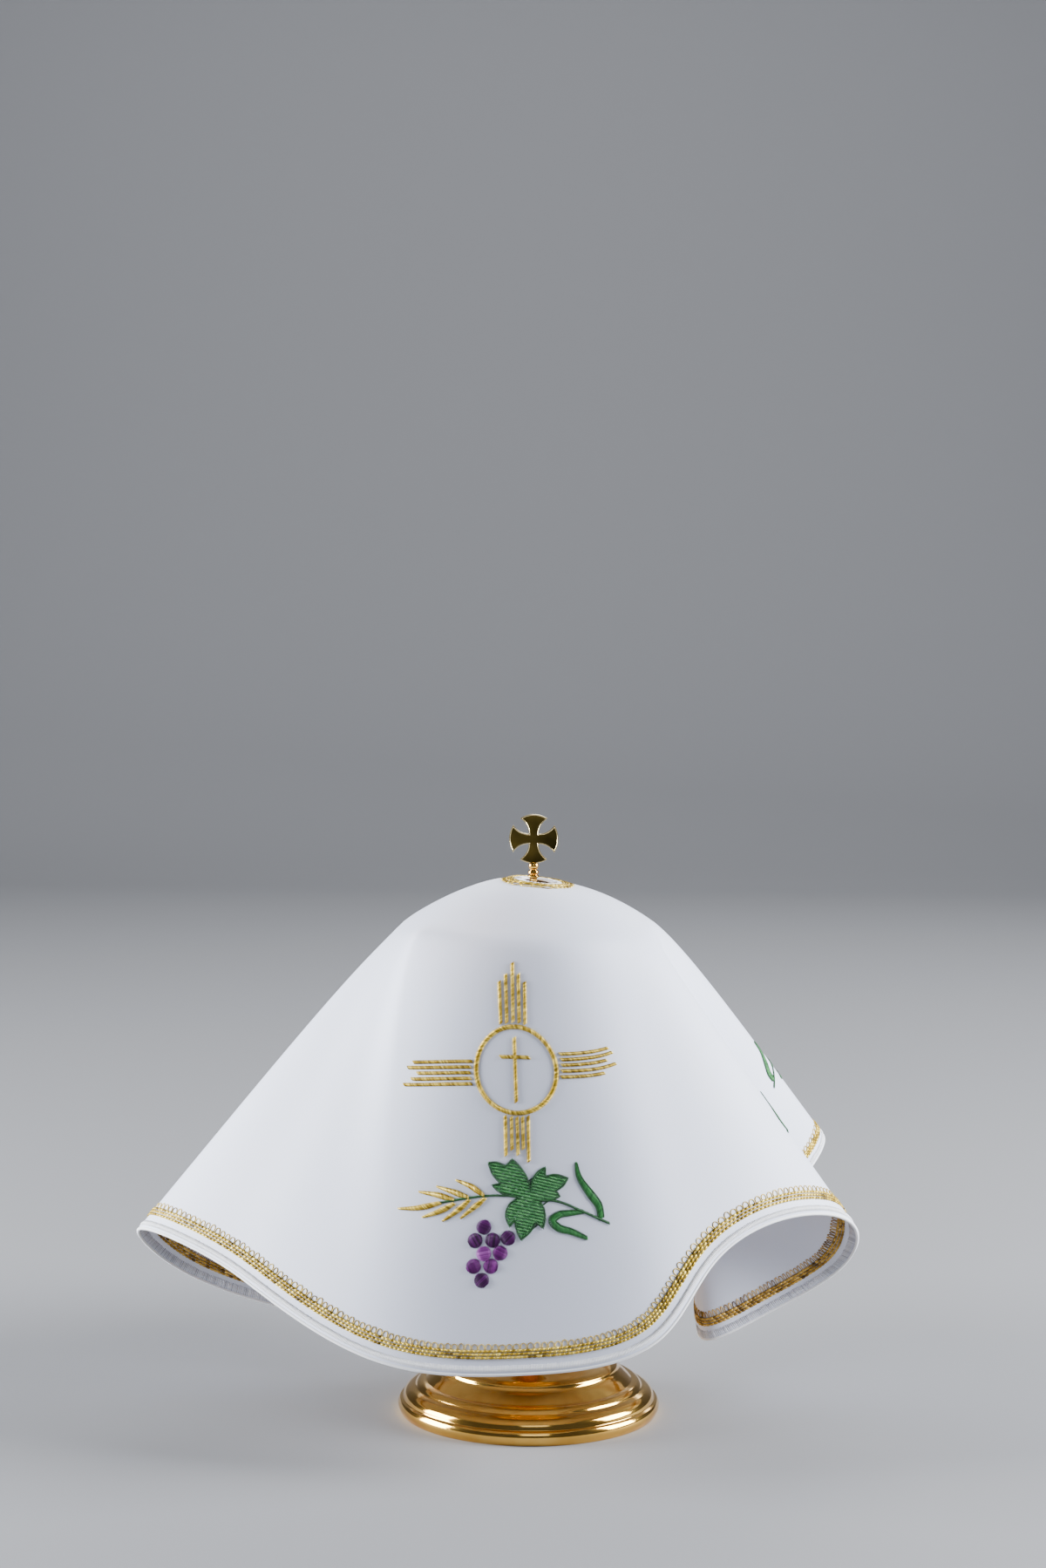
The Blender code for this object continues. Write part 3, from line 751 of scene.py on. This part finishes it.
# The gold rows of the hem: three chain-stitched rows of metallic thread, one beside another, on both faces.
# The gold threads run from near-black to pale gold: the bright stitches are painted glints and the dark ones
# painted shade.
gold_thread = thread_finish("gold thread", (0.12, 0.07, 0.002), (0.50, 0.325, 0.022), (0.96, 0.73, 0.15), 0.32, 0.4)
brown_gold = thread_finish("gold thread inside", (0.10, 0.048, 0.006), (0.42, 0.235, 0.03), (0.80, 0.52, 0.12),
                           0.4, 0.3)
GOLD_ROWS = (8.2, 9.75, 11.3)
CHAIN_PITCH = 2.3
CHAIN_LENGTH = 2.5
CHAIN_LEAN = 0.13
CHAIN_THREAD = (1.75, 1.0)


def chain_rows(name, rows, length, place, pitch, material, side=1):
    """Rows of stitches that lean like the turns of a rope."""
    starts, ends, shades = [], [], []
    for number, inward in enumerate(rows):
        at = even_marks(length, pitch) + number * pitch / 3 + rng.normal(0, 0.05, round(length / pitch))
        starts.append(flat_points(at - CHAIN_LENGTH / 2, inward - CHAIN_LEAN))
        ends.append(flat_points(at + CHAIN_LENGTH / 2, inward + CHAIN_LEAN))
        # About a third of the stitches are set dark and the rest light: painted shade and painted glints along the
        # rope.
        shade = np.where(rng.random(len(at)) < 0.3, 0.26, 0.66) + rng.normal(0, 0.14, len(at))
        shades.append(np.clip(shade, 0, 1))
    lay_threads(name, straight(np.concatenate(starts), np.concatenate(ends)), [place], *CHAIN_THREAD, material,
                np.concatenate(shades), side=side, arch=0.05, sides=4)


chain_rows("hem_gold_rows", GOLD_ROWS, HEM_LENGTH, by_the_hem, CHAIN_PITCH, gold_thread)
chain_rows("hem_gold_rows_inside", GOLD_ROWS, HEM_LENGTH, by_the_hem, CHAIN_PITCH, brown_gold, side=-1)

# The scalloped row: thin gold loops that stand in a line above the three rows, and a close zigzag inside.
SCALLOP_START = 11.9
SCALLOP_PITCH = 3.4
ZIGZAG_PITCH = 2.4
LOOP_THREAD = (0.55, 0.42)
LOOP = np.array([
    (-1.2, 0.0), (-1.35, 0.7), (-1.2, 1.6), (-0.7, 2.35), (0.0, 2.6), (0.7, 2.35), (1.2, 1.6), (1.35, 0.7),
    (1.2, 0.0),
])
# The dull gold also runs from dark to pale: painted shade and painted glints on each loop.
dull_gold = thread_finish("dull gold thread", (0.20, 0.13, 0.01), (0.52, 0.35, 0.03), (0.90, 0.66, 0.14), 0.4, 0.2)


def hem_loops(name, pitch, material, side=1, wide=1.0, tall=1.0):
    """A line of small loops along the hem, each sewn by one thread."""
    at = even_marks(HEM_LENGTH, pitch)
    size = flat_points(rng.normal(wide, 0.07, len(at)), rng.normal(tall, 0.07, len(at)))
    flat = LOOP[None] * size[:, None] + flat_points(at, SCALLOP_START)[:, None]
    lay_threads(name, flat, [by_the_hem], *LOOP_THREAD, material, tones(0.5, 0.2, len(at)), side=side, sides=4)


hem_loops("hem_scallops", SCALLOP_PITCH, dull_gold)
hem_loops("hem_zigzag_inside", ZIGZAG_PITCH, brown_gold, side=-1, wide=0.6, tall=1.3)

# The overlock inside the hem: a close band of grey-white thread that covers the turned edge.
OVERLOCK_BAND = (0.9, 4.9)
OVERLOCK_THREAD = (0.85, 0.36)
grey_thread = thread_finish("grey white thread", (0.42, 0.42, 0.46), (0.62, 0.62, 0.67), (0.78, 0.78, 0.82), 0.7)
marks = even_marks(HEM_LENGTH, 0.95)
threads = straight(*laid_across(marks, 0.7, OVERLOCK_BAND, 0.15), 3)
lay_threads("hem_overlock_inside", threads, [by_the_hem], *OVERLOCK_THREAD, grey_thread,
            tones(0.5, 0.25, len(marks)), side=-1, sides=4)

# The neck: white overlocked thread binds the hole, and a gold braid with small loops is sewn round it.
NECK_BAND = (0.5, 3.3)
NECK_ROLL = (0.9, 1.1)
NECK_THREAD = (0.95, 0.5)
NECK_GOLD_ROWS = (4.4, 5.6, 6.8)
NECK_CHAIN_THREAD = (0.95, 0.95)
NECK_CHAIN_LEAN = 0.22
NECK_LOOP_START = 7.4
NECK_LOOP_RADIUS = 17.0
NECK_LOOP_THREAD = (0.45, 0.7)


def by_the_neck(deg, outward):
    """Places on the cloth at an angle round the neck and millimetres out from its edge."""
    return deg, outward / np.interp(deg % 360, one_lap, np.append(column_length, column_length[0]))


marks = even_marks(360, 4.6)
edge_marks = np.arange(0, 360, 3.0)
lay_threads("neck_rolled_edge", flat_points(edge_marks, 0.2)[None], [by_the_neck], *NECK_ROLL, white_thread,
            np.array([0.8]), layer=-CLOTH_THICKNESS / 2 - 0.385, sides=8, closed=True)
threads = straight(*laid_across(marks, 2.5, NECK_BAND, 0.15))
lay_threads("neck_overlock", threads, [by_the_neck], *NECK_THREAD, white_thread, tones(0.75, 0.15, len(marks)),
            arch=0.05)
starts, ends = [], []
for outward in NECK_GOLD_ROWS:
    at = even_marks(360, math.degrees(2.0 / (NECK_RADIUS + outward)))
    reach = math.degrees(1.2 / (NECK_RADIUS + outward))
    lean = np.where(np.arange(len(at)) % 2 == 0, NECK_CHAIN_LEAN, -NECK_CHAIN_LEAN)
    starts.append(flat_points(at - reach, outward - lean))
    ends.append(flat_points(at + reach, outward + lean))
threads = straight(np.concatenate(starts), np.concatenate(ends))
lay_threads("neck_gold_rows", threads, [by_the_neck], *NECK_CHAIN_THREAD, gold_thread,
            tones(0.55, 0.25, len(threads)), arch=0.05)
at = even_marks(360, 9.0)
wide = rng.normal(1.0, 0.12, len(at))[:, None] * math.degrees(1 / NECK_LOOP_RADIUS)
tall = rng.normal(0.85, 0.15, len(at))[:, None]
neck_loops = flat_points(LOOP[None, :, 0] * wide + at[:, None], NECK_LOOP_START + LOOP[None, :, 1] * tall)
lay_threads("neck_loops", neck_loops, [by_the_neck], *NECK_LOOP_THREAD, gold_thread, rng.random(len(at)), sides=4)

# The embroidered ring and its rays, in twisted metallic gold: short slanting stitches close together. The ring
# holds a plain cross. It is sewn at the front and at the back.
FRONT_DEG = 270.5
BACK_DEG = 90.0
MOTIF_RISE = 1.0
MAP_STEP = 1.0
MAP_HALF = 80
front_length = np.interp(FRONT_DEG, fine_places, column_length)
across_step = np.linalg.norm(np.diff(np.concatenate([fine_cloth, fine_cloth[:1]]), axis=0), axis=2)
across_total = np.concatenate([[0 * across_step[0]], np.cumsum(across_step, axis=0)])


def motif_map(centre_deg, mirrored=False):
    """A map from flat millimetres, across and away from the cloth's centre, to places on the cloth."""
    wide = np.arange(-MAP_HALF, MAP_HALF + MAP_STEP, MAP_STEP)
    table = []
    for k in range(len(FINE_SHARES)):
        total = across_total[:, k]
        middle = np.interp(centre_deg, one_lap, total)
        long_total = np.concatenate([total[:-1] - total[-1], total, total[1:] + total[-1]])
        long_deg = np.concatenate([one_lap[:-1] - 360, one_lap, one_lap[1:] + 360])
        table.append(np.interp(wide + middle, long_total, long_deg))
    table = np.array(table)

    def place(across, away):
        radius = np.hypot(across, away)
        u = radius * np.arctan2(across, away)
        v = radius - NECK_RADIUS - MOTIF_RISE
        x = ((-u if mirrored else u) + MAP_HALF) / MAP_STEP
        y = np.clip(v / front_length, 0, 1) * (len(FINE_SHARES) - 1)
        i, k = np.clip(x.astype(int), 0, len(wide) - 2), np.minimum(y.astype(int), len(FINE_SHARES) - 2)
        a, b = x - i, y - k
        deg = between(a, b, table[k, i], table[k + 1, i], table[k, i + 1], table[k + 1, i + 1])
        return deg, v / front_length

    return place


def along_line(line, pitch):
    """Even places along a flat line, its directions there, and the share of its length behind each."""
    line = np.array(line, float)
    total = np.concatenate([[0], np.cumsum(np.linalg.norm(np.diff(line, axis=0), axis=1))])
    count = max(2, round(total[-1] / pitch))
    at = (np.arange(count) + 0.5) / count * total[-1]
    middle = np.stack([np.interp(at, total, line[:, 0]), np.interp(at, total, line[:, 1])], axis=-1)
    heading = np.gradient(middle, axis=0)
    return middle, heading / np.linalg.norm(heading, axis=1, keepdims=True), at / total[-1]


def satin(line, width, pitch=0.52, slant=0.55):
    """Starts and ends of threads laid slanting across a flat line; width may be one number or a function."""
    middle, heading, share = along_line(line, pitch)
    size = width(share) if callable(width) else width + 0 * share
    across = np.stack([-heading[:, 1], heading[:, 0]], axis=-1) + heading * slant
    half = across / math.hypot(1, slant) * size[:, None] / 2
    return middle - half, middle + half


def sew(name, columns, places, width, height, material, low, high, arch=0.12, layer=0.0, sides=5, stations=4):
    """Sew satin columns at each of these places as one piece, each thread in a tone between low and high."""
    starts = np.concatenate([c[0] for c in columns])
    ends = np.concatenate([c[1] for c in columns])
    lay_threads(name, straight(starts, ends, stations), places, width, height, material,
                rng.uniform(low, high, len(starts) * len(places)), arch=arch, layer=layer, sides=sides)


RING_CENTRE = (0.4, 131.1)
RING_HALF = (19.1, 20.6)
RAYS = [
    ((-6.2, 109.3), (-6.5, 88.9)), ((-3.3, 108.8), (-3.4, 85.4)), ((-0.3, 108.4), (-0.1, 79.6)),
    ((2.6, 108.6), (2.7, 84.9)), ((5.4, 109.1), (5.6, 88.5)),
    ((-20.5, 126.6), (-50.2, 124.9)), ((-21.2, 129.3), (-53.2, 127.3)), ((-21.4, 132.0), (-48.2, 130.3)),
    ((-21.3, 134.7), (-51.2, 133.0)), ((-20.8, 137.3), (-55.4, 135.5)),
    ((21.2, 122.3), (45.2, 119.9)), ((21.8, 125.0), (47.5, 122.6)), ((22.0, 127.7), (44.2, 125.8)),
    ((21.9, 130.6), (49.3, 128.7)), ((21.4, 133.5), (42.9, 132.0)),
    ((-5.5, 152.9), (-5.8, 171.9)), ((-2.6, 153.4), (-2.8, 169.2)), ((0.1, 153.6), (0.0, 171.6)),
    ((2.7, 153.4), (2.6, 168.8)), ((5.4, 152.9), (4.9, 174.9)),
]
RAY_STITCH = (0.62, 0.8)
turn = np.linspace(0, 2 * np.pi, 121)
ring_line = flat_points(RING_CENTRE[0] + RING_HALF[0] * np.sin(turn), RING_CENTRE[1] - RING_HALF[1] * np.cos(turn))
emblems = [motif_map(FRONT_DEG), motif_map(BACK_DEG)]
cross_bars = (((0, 115.6), (0, 146.6)), ((-7.0, 125.0), (7.0, 125.0)))
small_cross = [satin(bar, 2.3, *RAY_STITCH) for bar in cross_bars]
rays = [satin(ray, 2.1, *RAY_STITCH) for ray in RAYS]
sew("gold_ring", [satin(ring_line, 2.6, 0.6)], emblems, 0.7, 0.5, gold_thread, 0.15, 1.0, arch=0.16)
sew("gold_rays", rays, emblems, 0.9, 0.62, gold_thread, 0.1, 0.95, arch=0.16, sides=4, stations=3)
sew("gold_small_cross", small_cross, emblems, 0.72, 0.5, gold_thread, 0.1, 0.95, arch=0.16, stations=3)

# The vine spray: a leaf in green filling stitch with a dark outline, an ear of wheat in gold, grapes in
# purple satin stitch, and two curled blades on a thin stem. It is sewn six times round the veil.
LEAF = [
    (-14.3, 174.9), (-10.2, 174.9), (-6.2, 176.9), (-2.9, 173.5), (0.3, 176.8), (2.9, 180.6), (4.5, 184.7),
    (5.2, 188.9), (6.2, 184.1), (8.6, 180.0), (12.5, 177.2), (12.4, 181.8), (17.0, 180.7), (23.1, 182.3),
    (20.6, 186.1), (17.2, 188.4), (19.0, 191.1), (14.6, 192.9), (9.4, 193.3), (11.2, 197.1), (11.6, 201.3),
    (10.5, 206.2), (7.2, 203.1), (4.4, 207.8), (0.0, 211.6), (-2.0, 207.0), (-2.6, 201.8), (-5.2, 205.3),
    (-6.9, 200.1), (-5.4, 195.3), (-0.6, 191.6), (-5.4, 190.4), (-9.8, 188.5), (-12.8, 185.4), (-8.6, 185.0),
    (-12.2, 180.6), (-14.3, 174.9),
]
FILL_DEG = 52.0
FILL_PITCH = 0.62
FILL_STITCH = 2.3
green = thread_finish("green thread", (0.012, 0.105, 0.024), (0.048, 0.26, 0.062), (0.12, 0.42, 0.125), 0.5)
dark_green = thread_finish("dark green thread", (0.002, 0.028, 0.006), (0.007, 0.062, 0.014),
                           (0.022, 0.125, 0.028), 0.5)
plum = thread_finish("plum thread", (0.018, 0.0, 0.023), (0.052, 0.001, 0.064), (0.105, 0.008, 0.125), 0.5)
violet = thread_finish("violet thread", (0.060, 0.002, 0.072), (0.125, 0.006, 0.14), (0.21, 0.02, 0.23), 0.5)
mauve = thread_finish("mauve thread", (0.14, 0.014, 0.16), (0.24, 0.04, 0.26), (0.37, 0.10, 0.40), 0.5)
leaf_edge = np.array(fair_line(LEAF, 0.5))


def inside_line(points, line):
    """Which flat points lie inside a closed flat line."""
    x, y = points[:, 0][:, None], points[:, 1][:, None]
    ax, ay = line[:-1, 0], line[:-1, 1]
    bx, by = line[1:, 0], line[1:, 1]
    crosses = (ay > y) != (by > y)
    where = ax + (y - ay) * (bx - ax) / np.where(by == ay, 1e-9, by - ay)
    return ((crosses & (x < where)).sum(axis=1) % 2) == 1


def fill_stitches(line, deg, pitch, stitch):
    """Filling stitches side by side inside a closed flat line, in rows that step like bricks."""
    along = np.array([math.cos(math.radians(deg)), math.sin(math.radians(deg))])
    across = np.array([-along[1], along[0]])
    low, high = (line @ across).min(), (line @ across).max()
    near, far = (line @ along).min(), (line @ along).max()
    starts, ends = [], []
    for number, level in enumerate(np.arange(low + pitch / 2, high, pitch)):
        fine = np.arange(near, far, 0.2)
        held = inside_line(level * across + fine[:, None] * along, line)
        shift = number % 3 * stitch / 3
        cell = ((fine + shift) // stitch).astype(int)
        for c in np.unique(cell[held]):
            part = fine[held & (cell == c)]
            if len(part) > 3:
                starts.append(level * across + part[0] * along)
                ends.append(level * across + (part[-1] - 0.3) * along)
    return np.array(starts), np.array(ends)


def curve_through(points, count=40):
    """A smooth flat line through a few points."""
    points = np.array(points, float)
    far = np.concatenate([[0], np.cumsum(np.linalg.norm(np.diff(points, axis=0), axis=1))])
    slope = np.gradient(points, far, axis=0)
    at = np.linspace(0, far[-1], count)
    i = np.clip(np.searchsorted(far, at, side="right") - 1, 0, len(far) - 2)
    size = (far[i + 1] - far[i])[:, None]
    t = ((at - far[i])[:, None]) / size
    return ((1 + 2 * t) * (1 - t) ** 2 * points[i] + t * t * (3 - 2 * t) * points[i + 1]
            + t * (1 - t) ** 2 * slope[i] * size - t * t * (1 - t) * slope[i + 1] * size)


def spindle(widest, where=0.4, least=0.35, ends=(0.35, 0.0), fullness=0.8):
    """A width that swells from the ends to its widest."""
    swell = (ends[0], 1, ends[1])
    return lambda share: least + (widest - least) * np.interp(share, (0, where, 1), swell) ** fullness


WHEAT_STEM = curve_through([(-1.0, 191.0), (-15.9, 190.3), (-26.4, 191.0), (-38.4, 192.3)])
GRAINS = [
    ((-16.8, 190.1), (-22.9, 185.6), (-30.1, 182.1)), ((-24.3, 190.5), (-31.8, 187.5), (-39.5, 184.6)),
    ((-31.3, 191.1), (-39.7, 188.5), (-48.3, 186.7)), ((-37.8, 192.2), (-48.5, 194.2), (-59.1, 194.4)),
    ((-31.1, 192.9), (-38.4, 196.3), (-47.0, 198.7)), ((-23.9, 191.7), (-30.1, 196.7), (-37.2, 201.0)),
    ((-16.4, 191.3), (-22.0, 195.6), (-28.5, 200.2)),
]
VINE_STEM = curve_through([(6.1, 193.0), (17.1, 193.3), (29.2, 198.2), (42.4, 205.2)])
TALL_BLADE = curve_through([(27.2, 174.5), (28.2, 181.0), (33.4, 190.0), (37.4, 196.2), (38.4, 202.6)])
LOW_BLADE = curve_through([(30.4, 198.5), (23.6, 199.0), (18.2, 199.8), (15.0, 202.7), (17.8, 206.0), (23.0, 207.6),
                           (31.4, 211.4)], 70)
GRAPES = [
    ((-17.5, 204.9), "dark"), ((-21.9, 210.9), "dark"), ((-13.6, 211.2), "dark"), ((-6.3, 210.5), "dark"),
    ((-18.0, 217.2), "light"), ((-10.2, 217.3), "middle"), ((-23.0, 222.8), "middle"), ((-14.8, 223.3), "middle"),
    ((-19.4, 229.6), "dark"),
]
GRAPE_RADIUS = 3.55


def grape(centre, deg):
    """Satin threads that fill one round grape."""
    along = np.array([math.cos(math.radians(deg)), math.sin(math.radians(deg))])
    level = np.arange(-GRAPE_RADIUS + 0.2, GRAPE_RADIUS, 0.46)
    half = np.sqrt(GRAPE_RADIUS ** 2 - level ** 2)[:, None] * along
    middle = np.array(centre) + level[:, None] * np.array([-along[1], along[0]])
    return middle - half, middle + half


fill = fill_stitches(leaf_edge, FILL_DEG, FILL_PITCH, FILL_STITCH)
underlay = fill_stitches(leaf_edge, FILL_DEG + 90, 0.8, 9.0)
blades = (
    (TALL_BLADE, spindle(4.3, 0.6, 0.35, (0.0, 0.55), 0.55)),
    (LOW_BLADE, spindle(4.3, 0.55, 0.6, (0.1, 0.1), 0.5)),
)


def sides_of(line, width):
    """The two edge lines of a blade of changing width."""
    middle, heading, share = along_line(line, 0.8)
    half = np.stack([-heading[:, 1], heading[:, 0]], axis=-1) * (width(share) * 0.42)[:, None]
    return middle - half, middle + half


blade_edges = [satin(edge, 0.8, 0.6, 0.8) for line, width in blades for edge in sides_of(line, width)]
SPRAYS = ((FRONT_DEG, False), (205.5, False), (330.5, True), (30.5, True), (BACK_DEG, False), (149.5, False))
sprays = [motif_map(centre, mirrored) for centre, mirrored in SPRAYS]
stems = [satin(WHEAT_STEM, 1.5, 0.6, 0.9), satin(VINE_STEM, 1.7, 0.6, 0.9)]
wheat = [satin(curve_through(grain, 14), spindle(3.5, 0.35, 0.9), 0.55, 0.7) for grain in GRAINS]
blade_fill = [satin(line, width, 0.55, 0.6) for line, width in blades]
# The underlay is real, but it is sewn in the near-black end of the dark green, so the gaps between filling stitches
# show dark: painted shade in the gaps.
sew("leaf_underlay", [underlay], sprays, 0.95, 0.24, dark_green, 0.0, 0.5, sides=4, stations=5, arch=0)
sew("leaf_stitches", [fill], sprays, 0.66, 0.42, green, 0.25, 1.0, arch=0.08, layer=0.1, sides=4)
sew("leaf_edges", [satin(leaf_edge, 1.35, 0.6, 0.8)], sprays, 0.7, 0.46, dark_green, 0.1, 0.9, layer=0.16, sides=4,
    stations=3)
sew("vine_stems", stems, sprays, 0.7, 0.46, dark_green, 0.3, 1.0, layer=0.1, sides=4, stations=3)
sew("wheat_ears", wheat, sprays, 0.85, 0.58, gold_thread, 0.2, 1.0, arch=0.14, sides=4)
sew("blades", blade_fill, sprays, 0.68, 0.42, green, 0.0, 0.42, arch=0.06)
sew("blade_edges", blade_edges, sprays, 0.6, 0.4, dark_green, 0.2, 0.9, layer=0.14, sides=4, stations=3)
for shade, thread in (("dark", plum), ("middle", violet), ("light", mauve)):
    bunch = [grape(at, 25 + 37 * k) for k, (at, kind) in enumerate(GRAPES) if kind == shade]
    sew("grapes_" + shade, bunch, sprays, 0.62, 0.42, thread, 0.0, 1.0, arch=0.1, stations=5)

# The table and what stands behind it: a pale sheet that curves up at the back. It isn't part of the object.
CURVE_STEPS = 12
CURVE_STEP = 0.13
bpy.ops.object.select_all(action="DESELECT")
bpy.ops.mesh.primitive_plane_add(size=1.0)
floor = bpy.context.object
floor.name = floor.data.name = "studio_floor"
floor.data.materials.clear()
paper, paper_nodes, paper_links, paper_shader = new_material("pale paper")
paper_shader.inputs["Base Color"].default_value = (0.235, 0.235, 0.245, 1)
paper_shader.inputs["Roughness"].default_value = 0.8
floor.data.materials.append(paper)
bpy.ops.object.mode_set(mode="EDIT")
bpy.ops.mesh.select_all(action="SELECT")
bpy.ops.transform.resize(value=(6, 4, 1))
bpy.ops.mesh.select_mode(type="EDGE")
bpy.ops.mesh.select_all(action="DESELECT")
sheet_edges = bmesh.from_edit_mesh(floor.data)
for edge in sheet_edges.edges:
    edge.select_set(all(v.co.y > 0 for v in edge.verts))
bmesh.update_edit_mesh(floor.data)
for i in range(CURVE_STEPS):
    angle = math.radians(90 * (i + 0.5) / CURVE_STEPS)
    step = (0, CURVE_STEP * math.cos(angle), CURVE_STEP * math.sin(angle))
    bpy.ops.mesh.extrude_region_move(TRANSFORM_OT_translate={"value": step})
bpy.ops.mesh.extrude_region_move(TRANSFORM_OT_translate={"value": (0, 0, 3)})
bpy.ops.object.mode_set(mode="OBJECT")
bpy.ops.object.shade_smooth()

# Soft studio light: a large lamp on each side, a weak one above the front and one behind, in a dim grey room.
AIM = Vector((0.0, 0.0, 0.14))
for name, place, size, power in (
        ("left lamp", (-1.80, 0.02, 0.50), 1.0, 150),
        ("right lamp", (1.70, -0.02, 0.80), 1.0, 145),
        ("front lamp", (0.2, -1.9, 1.3), 0.9, 4),
        ("back lamp", (0.3, 1.6, 1.2), 0.9, 14)):
    lamp_data = bpy.data.lights.new(name, "AREA")
    lamp_data.size = size
    lamp_data.energy = power
    lamp_data.color = (0.93, 0.96, 1.0)
    lamp = bpy.data.objects.new(name, lamp_data)
    lamp.location = place
    lamp.rotation_euler = (AIM - Vector(place)).to_track_quat("-Z", "Y").to_euler()
    bpy.context.scene.collection.objects.link(lamp)
world = bpy.data.worlds.new("studio room")
bpy.context.scene.world = world
world.use_nodes = True
world.node_tree.nodes["Background"].inputs["Color"].default_value = (0.085, 0.09, 0.105, 1)

# The camera: in front and above the top of the cloth, tilted down, as in the photograph.
camera_data = bpy.data.cameras.new("camera")
camera_data.lens = 78.44
camera_data.sensor_width = 36.0
camera = bpy.data.objects.new("camera", camera_data)
bpy.context.scene.collection.objects.link(camera)
place = Matrix.Translation((-0.0056, -1.690, 0.490))
camera.matrix_world = place @ Matrix.Rotation(math.radians(84.2), 4, "X") @ Matrix.Rotation(0.009, 4, "Z")
bpy.context.scene.camera = camera
